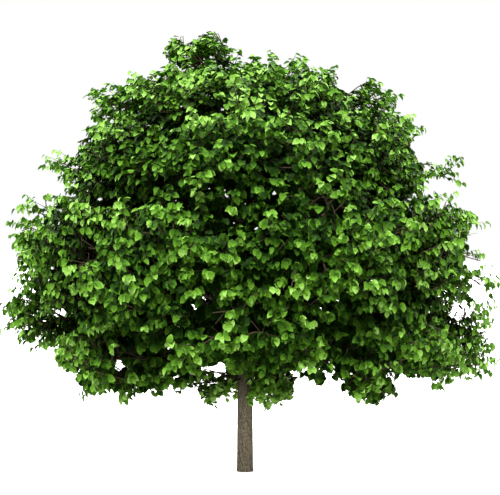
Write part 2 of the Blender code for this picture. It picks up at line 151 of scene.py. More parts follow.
key_turn = (math.radians(90.0 - KEY_HEIGHT_DEGREES), 0.0, math.radians(KEY_TURN_DEGREES))
bpy.ops.object.light_add(type="SUN", location=KEY_PLACE, rotation=key_turn)
key_lamp = bpy.context.object
key_lamp.data.angle = math.radians(KEY_SOFTNESS_DEGREES)
key_lamp.data.energy = KEY_STRENGTH

stem_way = Vector(STEM_LAMP_AIM) - Vector(STEM_LAMP_PLACE)
bpy.ops.object.light_add(
    type="SPOT", location=STEM_LAMP_PLACE, rotation=stem_way.to_track_quat("-Z", "Y").to_euler()
)
stem_lamp = bpy.context.object
stem_lamp.data.spot_size = math.radians(STEM_LAMP_ANGLE_DEGREES)
stem_lamp.data.spot_blend = STEM_LAMP_BLEND
stem_lamp.data.shadow_soft_size = STEM_LAMP_SIZE
stem_lamp.data.energy = STEM_LAMP_POWER

bpy.context.scene.view_settings.view_transform = "Standard"


def plain_finish(name, colour, roughness, shine=0.5):
    """A material of one plain colour, which an exported model carries as it stands."""
    made = bpy.data.materials.new(name)
    made.use_nodes = True
    shader = made.node_tree.nodes["Principled BSDF"]
    shader.inputs["Base Color"].default_value = (*colour, 1.0)
    shader.inputs["Roughness"].default_value = roughness
    shader.inputs["Specular IOR Level"].default_value = shine
    return made


def deselect_everything():
    bpy.ops.object.select_all(action="DESELECT")


deselect_everything()
bpy.ops.mesh.primitive_circle_add(vertices=FLOOR_SIDES, radius=FLOOR_RADIUS, fill_type="NGON")
floor = bpy.context.object
floor.name = "studio_floor"
floor_finish = plain_finish("floor_white", FLOOR_COLOUR, FLOOR_ROUGHNESS)
floor_nodes = floor_finish.node_tree.nodes
floor_links = floor_finish.node_tree.links
pale = floor_nodes["Principled BSDF"]
pale.inputs["Emission Color"].default_value = PLAIN_WHITE
pale.inputs["Emission Strength"].default_value = FLOOR_GLOW
bounce = floor_nodes.new("ShaderNodeBsdfDiffuse")
bounce.inputs["Color"].default_value = (FLOOR_BOUNCE, FLOOR_BOUNCE, FLOOR_BOUNCE, 1.0)
floor_ray = floor_nodes.new("ShaderNodeLightPath")
floor_mix = floor_nodes.new("ShaderNodeMixShader")
floor_links.new(floor_ray.outputs["Is Camera Ray"], floor_mix.inputs["Fac"])
floor_links.new(bounce.outputs["BSDF"], floor_mix.inputs[1])
floor_links.new(pale.outputs["BSDF"], floor_mix.inputs[2])
floor_links.new(floor_mix.outputs["Shader"], floor_nodes["Material Output"].inputs["Surface"])
floor.data.materials.append(floor_finish)
print("floor radius", FLOOR_RADIUS)

# %% [markdown]
# ## Measures of the whole tree
# A tree is drawn from a few driving sizes. The trunk has a height, a foot radius and a taper. The
# crown is built of rings of masses, and each ring says how far out and how high its masses lie,
# how far each one reaches, and how its bough comes in. Lifts, stretches and sizes say how each
# mass departs from its ring, because no real crown is even. These are the sizes that shaped the
# solids, so limbs and leaves that are worked out from them stay where the solids are.

# %% Driving sizes
SEED = 7
UP = np.array((0.0, 0.0, 1.0))
TREE_HEIGHT = 12.0
TRUNK_HEIGHT = 0.775 * TREE_HEIGHT
TRUNK_RADIUS = 0.198
TRUNK_TIP_RADIUS = 0.045
TRUNK_TAPER_POWER = 1.60
TRUNK_TOP_LEAN = -0.35
FLARE_RADIUS = 0.011
FLARE_HEIGHT = 0.12
CROWN_HEART = np.array((0.0, 0.0, 0.375 * TREE_HEIGHT))
SEAT_GAP = 0.0003
CELL_MARGIN = 0.012
CORE_RETREAT = 0.06
COLLAR_SWELL = 0.45
COLLAR_POWER = 6
BOUGH_LEVEL_SHARE = 0.45
FOOT_STEP = 0.39
ENTRY_DEPTH = 0.95
STEM_LEAD = 0.3
LEADER_RISE = 0.3
PATH_BIAS = 0.35
PLACE_JITTER = 0.12
TURN_JITTER = 3.0

# %% Rings of masses
Ring = namedtuple(
    "Ring",
    "name count turn distance height radial across tall deep entry facing "
    "foot foot_range rise foot_radius tip_radius lifts stretches sizes",
)

SKIRT = Ring(
    name="skirt", count=8, turn=0.0, distance=4.56, height=3.50,
    radial=2.27, across=2.52, tall=1.77, deep=1.21, entry=5.0, facing=10.0,
    foot=2.80, foot_range=0.55, rise=0.42, foot_radius=0.070, tip_radius=0.040,
    lifts=(-0.10, 0.0, -0.05, 0.0, 0.68, -0.35, 0.45, -0.17),
    stretches=(-0.10, 0.0, 0.0, 0.0, -0.08, -0.62, -0.10, 0.15),
    sizes=(1.05, 1.0, 1.07, 1.0, 0.89, 0.90, 1.05, 0.95),
)
BELT = Ring(
    name="belt", count=8, turn=22.5, distance=4.34, height=5.85,
    radial=2.27, across=2.62, tall=2.07, deep=2.07, entry=25.0, facing=15.0,
    foot=3.70, foot_range=0.75, rise=0.75, foot_radius=0.080, tip_radius=0.045,
    lifts=(0.05, 0.20, -0.30, -0.05, 0.0, -0.35, 0.05, -0.17),
    stretches=(0.0, 0.0, 0.0, 0.05, -0.10, 0.0, 0.0, 0.15),
    sizes=(1.0, 1.08, 1.08, 1.0, 1.0, 1.06, 1.07, 0.95),
)
SHOULDER = Ring(
    name="shoulder", count=6, turn=30.0, distance=3.45, height=8.00,
    radial=2.22, across=2.70, tall=1.97, deep=2.12, entry=40.0, facing=30.0,
    foot=4.95, foot_range=0.85, rise=0.95, foot_radius=0.075, tip_radius=0.040,
    lifts=(0.10, 0.15, 0.0, -0.05, -0.20, -0.05),
    stretches=(0.03, -0.05, 0.0, -0.30, -0.05, -0.10),
    sizes=(1.02, 1.04, 0.96, 0.92, 1.05, 0.92),
)
CREST = Ring(
    name="crest", count=5, turn=18.0, distance=1.84, height=9.65,
    radial=2.26, across=2.32, tall=1.57, deep=1.92, entry=52.0, facing=40.0,
    foot=6.40, foot_range=1.00, rise=1.15, foot_radius=0.046, tip_radius=0.032,
    lifts=(-0.20, 0.0, -0.40, -0.25, -0.10),
    stretches=(0.48, 0.0, 0.35, 0.05, 0.05),
    sizes=(1.0, 1.04, 1.0, 1.0, 1.0),
)
INNER = Ring(
    name="inner", count=3, turn=80.0, distance=1.12, height=2.42,
    radial=0.95, across=0.95, tall=0.62, deep=0.62, entry=0.0, facing=0.0,
    foot=2.50, foot_range=0.12, rise=0.12, foot_radius=0.035, tip_radius=0.030,
    lifts=(0.0, 0.0, 0.0),
    stretches=(0.0, 0.0, 0.0),
    sizes=(1.0, 1.0, 1.0),
)
RINGS = (SKIRT, BELT, SHOULDER, CREST, INNER)
CAP_RADIUS = 1.28
CAP_RISE = 0.02
CAP_CENTRE = np.array((-1.17, 0.0, TREE_HEIGHT - CAP_RADIUS + CAP_RISE))
CAP_LEADER = np.array((-0.35, 0.0, 1.0))

# %% [markdown]
# ## How a limb runs
# A limb is a centre line and a radius along it. The trunk is all but straight, leans a little
# near its top and swells slightly where it meets the ground. A bough leaves the trunk with a
# collar, the thickening that a growing trunk lays around a branch, rises in an arch and thins
# towards its mass of leaves. The arch is one curve with a single guide point: a start, a guide
# above the level part, and the tip. Working it out for any share of the way gives as many
# stations as a mesh needs, which a list of points could not.

# %% Centre lines and radii
def unit(arms):
    """Arms of length one, for one arm or for a table of them."""
    return arms / np.maximum(np.linalg.norm(arms, axis=-1, keepdims=True), 1e-9)


def polar(azimuth, distance, height):
    turn = math.radians(azimuth)
    return np.array((distance * math.cos(turn), distance * math.sin(turn), height))


def trunk_centre(height):
    lean = TRUNK_TOP_LEAN * (np.asarray(height) / TRUNK_HEIGHT) ** 3
    return np.stack([lean, np.zeros_like(lean), np.asarray(height, dtype=float)], axis=-1)


def trunk_radius(height):
    taper = (TRUNK_RADIUS - TRUNK_TIP_RADIUS) * (height / TRUNK_HEIGHT) ** TRUNK_TAPER_POWER
    return TRUNK_RADIUS - taper + FLARE_RADIUS * np.exp(-height / FLARE_HEIGHT)


Bough = namedtuple("Bough", "name azimuth foot control tip foot_radius tip_radius")


def bough_foot(ring, index):
    return trunk_centre(ring.foot + ring.foot_range * ((index * FOOT_STEP) % 1.0))


def bough_arch(ring, index, azimuth, tip):
    foot = bough_foot(ring, index)
    run = np.linalg.norm((tip - foot)[:2])
    control = foot + polar(azimuth, BOUGH_LEVEL_SHARE * run, ring.rise)
    name = "bough_%s_%d" % (ring.name, index + 1)
    return Bough(name, azimuth, foot, control, tip, ring.foot_radius, ring.tip_radius)


def bough_centre(bough, shares):
    share = np.asarray(shares)[..., None]
    first = bough.foot + (bough.control - bough.foot) * share
    second = bough.control + (bough.tip - bough.control) * share
    return first + (second - first) * share


def bough_radius(bough, shares):
    taper = bough.foot_radius + (bough.tip_radius - bough.foot_radius) * shares
    return taper * (1.0 + COLLAR_SWELL * (1.0 - shares) ** COLLAR_POWER)


# %% [markdown]
# ## Where each mass lies
# The masses stand in rings round the trunk, each a little out of step with its place, as no real
# tree is even. The same seeded draws as in the solids give the same places. Flat planes halfway
# between neighbours keep every mass to its own cell of the crown, so that two boughs never fill
# the same space.

# %% Places of the masses
BOUGH_END_SHARE = 0.8
TRUNK_END_SHARE = 1.0 / 12.0
Mass = namedtuple("Mass", "name centre frame radii normal leader bough start lead stem_radius")


def ring_mass(ring, index, rng):
    azimuth = ring.turn + 360.0 * index / ring.count + rng.uniform(-1, 1) * TURN_JITTER
    distance = ring.distance + ring.stretches[index] + rng.uniform(-1, 1) * PLACE_JITTER
    height = ring.height + ring.lifts[index] + rng.uniform(-1, 1) * PLACE_JITTER
    centre = polar(azimuth, distance, height)
    outward = polar(azimuth, 1.0, 0.0)
    axes = np.stack([outward, np.cross(UP, outward), UP])
    size = ring.sizes[index]
    radii = (size * ring.radial, size * ring.across, size * ring.tall, size * ring.deep)
    facing = math.radians(ring.facing)
    normal = math.cos(facing) * outward + math.sin(facing) * UP
    leader = unit(outward + LEADER_RISE * normal)
    name = "foliage_%s_%d" % (ring.name, index + 1)
    if ring is INNER:
        start = bough_foot(ring, index)
        lead = start + 0.5 * (centre - start) + ring.rise * UP
        return Mass(name, centre, axes, radii, normal, leader, None, start, lead, ring.foot_radius)
    entry = math.radians(ring.entry)
    inward = math.cos(entry) * radii[0] * outward + math.sin(entry) * radii[3] * UP
    bough = bough_arch(ring, index, azimuth, centre - ENTRY_DEPTH * inward)
    way = unit(bough.tip - bough_centre(bough, BOUGH_END_SHARE))
    start, lead = bough.tip + SEAT_GAP * way, bough.tip + STEM_LEAD * way
    return Mass(name, centre, axes, radii, normal, leader, bough, start, lead, ring.tip_radius)


def crown_masses():
    rng = random.Random(SEED)
    masses = [ring_mass(ring, index, rng) for ring in RINGS for index in range(ring.count)]
    top = trunk_centre(TRUNK_HEIGHT)
    way = unit(top - trunk_centre(TRUNK_HEIGHT * (1.0 - TRUNK_END_SHARE)))
    start, lead = top + SEAT_GAP * way, top + STEM_LEAD * way
    cap = Mass(
        name="foliage_cap", centre=CAP_CENTRE, frame=np.eye(3), radii=(CAP_RADIUS,) * 4,
        normal=UP, leader=unit(CAP_LEADER), bough=None,
        start=start, lead=lead, stem_radius=TRUNK_TIP_RADIUS,
    )
    return masses + [cap]


MASSES = crown_masses()
BOUGHS = [mass.bough for mass in MASSES if mass.bough is not None]
print(len(MASSES), "masses,", len(BOUGHS), "boughs")

# %% [markdown]
# ## Cells, reach and depth
# Three questions come up for every point of the crown. Is it inside its mass's cell? How far out
# is it, in units of the mass's own reach? And how deep does it lie under the crown's outer skin?
# The last one decides how many leaves grow there: a lime carries most of them in the outer metre
# or so, where there is light, and its heart is nearly bare. All three are answered for whole
# tables of points at once, which is what makes tens of thousands of leaves quick to place.
#
# A mass isn't a smooth ball either. Its branch ends push out as tufts, about a metre apart, with
# hollows between them that fill with shade. The tufts' directions lie evenly over the mass, some
# fall short of the mass's reach, and the hollow grows with the distance from the nearest tuft.

# %% Tests for tables of points
DEPTH_STEP = 0.25
DEPTH_STEPS = 12
GOLDEN_TURN = math.pi * (3.0 - math.sqrt(5.0))
TUFT_SPACING = 1.1
TUFT_HOLLOW = 0.56
TUFT_SCATTER = 0.10
TUFT_SHORTFALL = 0.26
TUFT_SHORTFALL_POWER = 1.5
FEWEST_TUFTS = 8
HOLLOW_REACH = 0.62
TUFTED_RADIUS = 2.1
Space = namedtuple("Space", "mass planes tufts shortfalls")


def mean_radius(mass):
    return sum(mass.radii) / len(mass.radii)


def cell_planes(mass):
    normals = []
    offsets = []
    for other in MASSES:
        gap = other.centre - mass.centre
        length = np.linalg.norm(gap)
        if other is mass or length > max(mass.radii) + max(other.radii) + CORE_RETREAT:
            continue
        weight = mean_radius(mass) ** 2 - mean_radius(other) ** 2
        normal = gap / length
        normals.append(normal)
        offsets.append(normal @ mass.centre + (length**2 + weight) / (2.0 * length) - CELL_MARGIN)
    return np.array(normals), np.array(offsets)


def reach_share(mass, points, trim=0.0):
    """How far out points lie: 0 at the mass's centre and 1 where its reach ends."""
    parts = (points - mass.centre) @ mass.frame.T
    upright = np.where(parts[:, 2] > 0.0, mass.radii[2], mass.radii[3])
    level = np.ones(len(points))
    sizes = np.stack([mass.radii[0] * level, mass.radii[1] * level, upright], axis=1)
    sizes -= np.reshape(trim, (-1, 1))
    return np.sqrt(((parts / sizes) ** 2).sum(axis=1))


def in_cell(planes, points, slack):
    normals, offsets = planes
    return np.all(points @ normals.T <= offsets + slack, axis=1)


def tuft_scale(mass):
    """Small masses have shallower hollows."""
    return min(1.0, mean_radius(mass) / TUFTED_RADIUS) ** 2


def mass_space(mass, rng):
    """The mass with its cell, and the directions of its tufts and how far they fall short."""
    surface = 4.0 * math.pi * mean_radius(mass) ** 2
    count = max(FEWEST_TUFTS, int(surface / TUFT_SPACING**2))
    index = np.arange(count)
    height = 1.0 - (2.0 * index + 1.0) / count
    around = np.sqrt(1.0 - height**2)
    turn = rng.uniform(0.0, 2.0 * math.pi) + index * GOLDEN_TURN
    ways = np.stack([around * np.cos(turn), around * np.sin(turn), height], axis=1)
    tufts = unit(ways + rng.normal(0.0, TUFT_SCATTER, ways.shape))
    shortfalls = tuft_scale(mass) * TUFT_SHORTFALL * rng.random(count) ** TUFT_SHORTFALL_POWER
    return Space(mass, cell_planes(mass), tufts, shortfalls)


def hollow(space, points):
    """How far the reach draws back at points, most of all between tufts."""
    likeness = unit(points - space.mass.centre) @ space.tufts.T
    away = np.sqrt(np.maximum(0.0, 2.0 - 2.0 * likeness.max(axis=1))) * mean_radius(space.mass)
    dip = np.clip(away / (HOLLOW_REACH * TUFT_SPACING), 0.0, 1.0) ** 2
    return tuft_scale(space.mass) * TUFT_HOLLOW * dip + space.shortfalls[likeness.argmax(axis=1)]


def crown_depth(points):
    """How deep points lie under the crown's skin, seen from its heart."""
    ways = unit(points - CROWN_HEART)
    depth = np.zeros(len(points))
    for step in range(1, DEPTH_STEPS + 1):
        probe = points + ways * (step * DEPTH_STEP)
        covered = np.zeros(len(points), dtype=bool)
        for mass in MASSES:
            covered |= reach_share(mass, probe) < 1.0
        depth[covered] = step * DEPTH_STEP
    return depth


# %% Distance to the nearest limb
LIMB_STATIONS = 40


def limb_balls():
    """Points down the middle of every limb, with its radius there."""
    shares = np.linspace(0.0, 1.0, LIMB_STATIONS + 1)
    heights = shares * TRUNK_HEIGHT
    centres = [trunk_centre(heights)]
    radii = [trunk_radius(heights)]
    for bough in BOUGHS:
        centres.append(bough_centre(bough, shares[::2]))
        radii.append(bough_radius(bough, shares[::2]))
    return np.concatenate(centres), np.concatenate(radii)


LIMB_CENTRES, LIMB_RADII = limb_balls()


def clear_of_limbs(points, room):
    near = np.full(len(points), np.inf)
    for centre, radius in zip(LIMB_CENTRES, LIMB_RADII):
        away = np.linalg.norm(points - centre, axis=1) - radius
        near = np.minimum(near, away)
    return near > room


print("limb stations", len(LIMB_CENTRES))

# %% [markdown]
# ## Bark with real relief
# Lime bark is grey-brown and splits into long, shallow, interlaced ridges that run up the trunk.
# Close to, their shadows are what one sees, so the relief is in the mesh and not only in the
# material. The tube is a cylinder whose upright edges are cut into many rings. Each corner is
# then moved by a noise that is stretched along the limb: where the noise passes through zero
# there is a furrow, and its zero lines weave past each other just as the ridges do. The height
# of the relief is kept on the mesh as an attribute, so the colour follows the same furrows.

# %% A ringed tube to start from
SAME_HEIGHT = 1e-6


def points_of(piece):
    places = np.empty(len(piece.data.vertices) * 3)
    piece.data.vertices.foreach_get("co", places)
    return places.reshape(-1, 3)


def set_points(piece, places):
    piece.data.vertices.foreach_set("co", np.asarray(places).ravel())
    piece.data.update()


def select_edges(piece, chosen):
    """Selects just the edges whose two ends pass the test, and leaves edit mode on."""
    bpy.ops.object.mode_set(mode="EDIT")
    bpy.ops.mesh.select_mode(type="EDGE")
    bpy.ops.mesh.select_all(action="DESELECT")
    bpy.ops.object.mode_set(mode="OBJECT")
    ends = np.empty(len(piece.data.edges) * 2, dtype=int)
    piece.data.edges.foreach_get("vertices", ends)
    places = points_of(piece)
    ends = ends.reshape(-1, 2)
    flags = chosen(places[ends[:, 0]], places[ends[:, 1]])
    piece.data.edges.foreach_set("select", flags)
    bpy.ops.object.mode_set(mode="EDIT")


def ringed_tube(name, sides, rings):
    """A closed upright tube of radius 1 and height 1, cut into rings squared stretches."""
    deselect_everything()
    bpy.ops.mesh.primitive_cylinder_add(
        vertices=sides, radius=1.0, depth=1.0, end_fill_type="NGON", location=(0.0, 0.0, 0.5)
    )
    tube = bpy.context.object
    tube.name = name
    bpy.ops.object.transform_apply(location=True, rotation=False, scale=False)
    for _ in range(2):
        select_edges(tube, lambda one, other: np.abs(one[:, 2] - other[:, 2]) > SAME_HEIGHT)
        bpy.ops.mesh.subdivide(number_cuts=rings - 1)
        bpy.ops.object.mode_set(mode="OBJECT")
    bpy.ops.object.shade_smooth()
    return tube


# %% Ridges and furrows
RIDGE_WIDTH = 0.031
RIDGE_LENGTH = 0.095
FURROW_SHARE = 0.32
FINE_RIDGES = 2.7
FINE_WEIGHT = 0.35


def bark_relief(angles, lengths, girth_radius, phase):
    """From 0 in a furrow to 1 on a ridge, for places given by turn and length of limb."""
    reach = girth_radius / RIDGE_WIDTH
    heights = np.empty(len(angles))
    for index, (angle, length) in enumerate(zip(angles, lengths)):
        upward = length / RIDGE_LENGTH + phase
        place = Vector((reach * math.cos(angle), reach * math.sin(angle), upward))
        weave = noise.noise(place) + FINE_WEIGHT * noise.noise(place * FINE_RIDGES)
        heights[index] = min(1.0, abs(weave) / FURROW_SHARE)
    return heights


def keep_relief(piece, heights):
    layer = piece.data.attributes.new("relief", "FLOAT", "POINT")
    layer.data.foreach_set("value", heights)


# %% [markdown]
# ## The bark's finish
# The ridges of the bark are a warm grey and the furrows nearly black, which is partly the
# bark's own darker fissures and partly painted shade in the recesses. A colour ramp turns the
# relief attribute into those, and two noises on object coordinates add the slow change from
# greener to greyer patches and a fine grain, which also roughens the surface as a bump.

# %% Bark material
BARK_ROUGHNESS = 0.92
BARK_SHINE = 0.05
RIDGE_COLOUR_START = 0.85
NOISE_STRETCH = (1.0, 1.0, 0.35)
PATCH_SCALE = 5.0
PATCH_DETAIL = 3.0
PATCH_FROM = 0.45
PATCH_TO = 0.75
PATCH_SHARE = 0.45
GRAIN_SCALE = 70.0
GRAIN_DETAIL = 4.0
GRAIN_STRENGTH = 0.6


def bark_finish(name, furrow, ridge, weathered, grain_depth):
    made = bpy.data.materials.new(name)
    made.use_nodes = True
    nodes = made.node_tree.nodes
    links = made.node_tree.links
    shader = nodes["Principled BSDF"]
    relief = nodes.new("ShaderNodeAttribute")
    relief.attribute_name = "relief"
    ramp = nodes.new("ShaderNodeValToRGB")
    # the furrow end of the ramp is partly the bark's own colour and partly painted shade in the
    # recesses
    ramp.color_ramp.elements[0].color = (*furrow, 1.0)
    ramp.color_ramp.elements[1].color = (*ridge, 1.0)
    ramp.color_ramp.elements[1].position = RIDGE_COLOUR_START
    links.new(relief.outputs["Fac"], ramp.inputs["Fac"])
    place = nodes.new("ShaderNodeTexCoord")
    stretch = nodes.new("ShaderNodeMapping")
    stretch.inputs["Scale"].default_value = NOISE_STRETCH
    links.new(place.outputs["Object"], stretch.inputs["Vector"])
    patches = nodes.new("ShaderNodeTexNoise")
    patches.inputs["Scale"].default_value = PATCH_SCALE
    patches.inputs["Detail"].default_value = PATCH_DETAIL
    links.new(stretch.outputs["Vector"], patches.inputs["Vector"])
    grain = nodes.new("ShaderNodeTexNoise")
    grain.inputs["Scale"].default_value = GRAIN_SCALE
    grain.inputs["Detail"].default_value = GRAIN_DETAIL
    links.new(stretch.outputs["Vector"], grain.inputs["Vector"])
    blend = nodes.new("ShaderNodeMix")
    blend.data_type = "RGBA"
    blend.blend_type = "MIX"
    blend.inputs["B"].default_value = (*weathered, 1.0)
    links.new(ramp.outputs["Color"], blend.inputs["A"])
    patch_share = nodes.new("ShaderNodeMapRange")
    patch_share.inputs["From Min"].default_value = PATCH_FROM
    patch_share.inputs["From Max"].default_value = PATCH_TO
    patch_share.inputs["To Max"].default_value = PATCH_SHARE
    links.new(patches.outputs["Fac"], patch_share.inputs["Value"])
    links.new(patch_share.outputs["Result"], blend.inputs["Factor"])
    links.new(blend.outputs["Result"], shader.inputs["Base Color"])
    bump = nodes.new("ShaderNodeBump")
    bump.inputs["Strength"].default_value = GRAIN_STRENGTH
    bump.inputs["Distance"].default_value = grain_depth
    links.new(grain.outputs["Fac"], bump.inputs["Height"])
    links.new(bump.outputs["Normal"], shader.inputs["Normal"])
    shader.inputs["Roughness"].default_value = BARK_ROUGHNESS
    shader.inputs["Specular IOR Level"].default_value = BARK_SHINE
    return made


# furrow colours nearly black: partly darker fissures, partly painted shade in the recesses
trunk_finish = bark_finish(
    "trunk_bark_grey_brown",
    furrow=(0.030, 0.024, 0.016), ridge=(0.172, 0.144, 0.100), weathered=(0.112, 0.102, 0.062),
    grain_depth=0.004,
)
bough_finish = bark_finish(
    "bough_bark_brown",
    furrow=(0.040, 0.031, 0.022), ridge=(0.150, 0.122, 0.088), weathered=(0.095, 0.088, 0.058),
    grain_depth=0.003,
)

# %% [markdown]
# ## The trunk
# The trunk is the first tube. Its rings crowd near the ground, where the bark is seen best, and
# open out inside the crown. The ridges stand a little outside the plain solid. The cut at the
# ground stays flat, and the relief is less than half as deep there, so that the foot's edge is
# all but round.

# %% Trunk
TRUNK_SIDES = 120
TRUNK_RINGS = 15
TRUNK_NEAR_SHARE = 0.32
TRUNK_RELIEF = 0.012
RIDGE_STAND_OUT = 0.018
FOOT_FADE = 0.03
FOOT_RELIEF_SHARE = 0.4


def shape_trunk():
    trunk = ringed_tube("bark_trunk", TRUNK_SIDES, TRUNK_RINGS)
    places = points_of(trunk)
    angles = np.arctan2(places[:, 1], places[:, 0])
    steps = places[:, 2]
    heights = TRUNK_HEIGHT * (TRUNK_NEAR_SHARE * steps + (1.0 - TRUNK_NEAR_SHARE) * steps**3)
    radii = trunk_radius(heights)
    ridges = bark_relief(angles, heights, TRUNK_RADIUS, 0.0)
    fade = np.minimum(1.0, heights / FOOT_FADE + FOOT_RELIEF_SHARE)
    depth = TRUNK_RELIEF * (radii / TRUNK_RADIUS) * fade
    spread = radii + RIDGE_STAND_OUT - depth * (1.0 - ridges)
    around = np.stack([np.cos(angles), np.sin(angles), np.zeros(len(angles))], axis=1)
    set_points(trunk, trunk_centre(heights) + around * spread[:, None])
    keep_relief(trunk, ridges)
    trunk.data.materials.append(trunk_finish)
    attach(trunk, "root")
    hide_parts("trunk")
    return trunk


trunk_piece = shape_trunk()
print("trunk faces", len(trunk_piece.data.polygons))

# %% [markdown]
# ## The boughs
# A bough is the same tube, modelled once, with fewer sides. Each copy gets a mesh of its own and
# is bent along its arch: the tube's height becomes the share of the way, and its round section
# is laid across the curve. The foot starts on the trunk's axis, so the collar comes out of the
# trunk with no gap. The copies are joined into one piece at the end.

# %% Boughs
BOUGH_SIDES = 14
BOUGH_RINGS = 7
BOUGH_RELIEF = 0.10
RELIEF_SHIFT = 9.0
SHORT_WAY = 0.01


def bend_bough(pattern, bough, phase):
    piece = pattern.copy()
    piece.data = pattern.data.copy()
    bpy.context.scene.collection.objects.link(piece)
    places = points_of(piece)
    angles = np.arctan2(places[:, 1], places[:, 0])
    section = np.linalg.norm(places[:, :2], axis=1)
    shares = places[:, 2]
    centres = bough_centre(bough, shares)
    ahead = unit(bough_centre(bough, shares + SHORT_WAY) - bough_centre(bough, shares - SHORT_WAY))
    side = np.tile(unit(np.cross(UP, polar(bough.azimuth, 1.0, 0.0))), (len(shares), 1))
    over = np.cross(ahead, side)
    length = np.linalg.norm(bough.tip - bough.foot)
    ridges = bark_relief(angles, shares * length, bough.foot_radius, phase)
    radii = bough_radius(bough, shares) * (1.0 - BOUGH_RELIEF * (1.0 - ridges)) * section
    around = np.cos(angles)[:, None] * over + np.sin(angles)[:, None] * side
    set_points(piece, centres + around * radii[:, None])
    keep_relief(piece, ridges)
    return piece


def shape_boughs():
    pattern = ringed_tube("bough_pattern", BOUGH_SIDES, BOUGH_RINGS)
    copies = [
        bend_bough(pattern, bough, RELIEF_SHIFT * index) for index, bough in enumerate(BOUGHS)
    ]
    bpy.data.objects.remove(pattern, do_unlink=True)
    deselect_everything()
    for piece in copies:
        piece.select_set(True)
    bpy.context.view_layer.objects.active = copies[0]
    bpy.ops.object.join()
    boughs = bpy.context.object
    boughs.name = "bark_boughs"
    bpy.ops.object.mode_set(mode="EDIT")
    bpy.ops.mesh.select_all(action="SELECT")
    bpy.ops.mesh.normals_make_consistent(inside=False)
    bpy.ops.object.mode_set(mode="OBJECT")
    boughs.data.materials.append(bough_finish)
    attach(boughs, "root")
    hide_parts(*[bough.name for bough in BOUGHS])
    return boughs


bough_piece = shape_boughs()
print("bough faces", len(bough_piece.data.polygons))

# %% [markdown]
# ## One leaf
# A lime leaf is a heart with a short drawn-out point. It is folded a little along its midrib,
# one lobe of its base is larger than the other, and its tip hangs. The shape starts as a flat
# grid, two faces wide. Each row across the leaf is selected, scaled to the leaf's width there and
# set aside, so that it isn't taken for a row still to come. The first two rows close in to make
# the stalk, both ends are merged to a point, and the whole leaf is moved back.
# Sixteen triangles are enough for a leaf that is a few pixels across, and they have to be
# few, because they are repeated nearly fifty thousand times.

# %% Leaf pattern
LEAF_ROWS = (
    # place along the leaf, half width, and how far the edge lies ahead of the midrib
    (-0.20, 0.000, 0.00),
    (0.00, 0.014, 0.00),
    (0.13, 0.340, -0.17),
    (0.40, 0.480, -0.06),
    (0.74, 0.330, -0.02),
    (1.00, 0.000, 0.00),
)
LOBE_UNEVEN = 0.10
FOLD_RISE = 0.30
TIP_HANG = 0.20
ASIDE = 10.0
ROW_MATCH = 1e-3
LEAST_HALF = 1e-3
OFF_MIDRIB = 5e-4


def pick_points(piece, chosen):
    """Selects just the corners that pass the test, and leaves edit mode on."""
    bpy.ops.object.mode_set(mode="EDIT")
    bpy.ops.mesh.select_mode(type="VERT")
    bpy.ops.mesh.select_all(action="DESELECT")
    bpy.ops.object.mode_set(mode="OBJECT")
    piece.data.vertices.foreach_set("select", chosen(points_of(piece)))
    bpy.ops.object.mode_set(mode="EDIT")


def grid_rows(piece):
    return np.unique(np.round(points_of(piece)[:, 0], 4))


def shape_leaf():
    """A leaf one unit long that lies along +X with its upper face up."""
    deselect_everything()
    rows = len(LEAF_ROWS) - 1
    bpy.ops.mesh.primitive_grid_add(x_subdivisions=rows, y_subdivisions=2, size=2.0)
    leaf = bpy.context.object
    leaf.name = "leaf_pattern"
    for row, (along, half, lead) in zip(grid_rows(leaf), LEAF_ROWS):
        pick_points(leaf, lambda places: np.abs(places[:, 0] - row) < ROW_MATCH)
        width = (1.0, max(half, LEAST_HALF), 1.0)
        bpy.ops.transform.resize(value=width, center_override=(row, 0, 0))
        bpy.ops.transform.translate(value=(ASIDE + along - row, 0.0, 0.0))
        pick_points(
            leaf,
            lambda places: (np.abs(places[:, 0] - ASIDE - along) < ROW_MATCH)
            & (np.abs(places[:, 1]) > OFF_MIDRIB),
        )
        bpy.ops.transform.translate(value=(lead, 0.0, FOLD_RISE * half))
    for end in (LEAF_ROWS[0][0], LEAF_ROWS[-1][0]):
        pick_points(leaf, lambda places: np.abs(places[:, 0] - ASIDE - end) < ROW_MATCH)
        bpy.ops.mesh.merge(type="CENTER")
    bpy.ops.mesh.select_all(action="SELECT")
    bpy.ops.transform.translate(value=(-ASIDE, 0.0, 0.0))
    bpy.ops.mesh.quads_convert_to_tris()
    bpy.ops.object.mode_set(mode="OBJECT")
    return leaf


leaf_pattern = shape_leaf()
print("leaf triangles", len(leaf_pattern.data.polygons))

# %% [markdown]
# ## Leaves of three kinds
# No two leaves of a spray hang alike, but as many different meshes would be waste. Three
# kinds, turned and sized at random, look like endless variety: a broad one with its larger lobe
# on the left, its mirror twin that is more deeply folded, and a narrower young one that droops.
# The pattern's corners are read into a table once, and each kind is that table bent a little.
# The faces at a leaf's base are noted as one shade darker, a painted shade, and those at its
# point as one shade paler, a painted highlight, which parts each leaf from its neighbours.

# %% Kinds of leaf
LOBE_END = 0.6
STALK_END = -0.1
MIRRORED_KIND = 1
PAINTED_SHADE_BASE_END = 0.35
PAINTED_LIGHT_TIP_START = 0.70


def triangles_of(piece):
    corners = np.empty(len(piece.data.polygons) * 3, dtype=int)
    piece.data.polygons.foreach_get("vertices", corners)
    return corners.reshape(-1, 3)


def leaf_kind(corners, uneven=LOBE_UNEVEN, mirrored=False, folded=1.0, narrow=1.0, hang=TIP_HANG):
    """The pattern's corners with one lobe larger, folded further, and with its tip hanging."""
    made = corners.copy()
    along, across = corners[:, 0], corners[:, 1]
    lobe = np.clip(1.0 - along / LOBE_END, 0.0, 1.0) * (along > STALK_END)
    made[:, 1] = across * narrow * (1.0 + uneven * lobe * np.sign(across))
    made[:, 2] = corners[:, 2] * folded - hang * np.clip(along, 0.0, 1.0) ** 2
    if mirrored:
        made[:, 1] *= -1.0
    return made


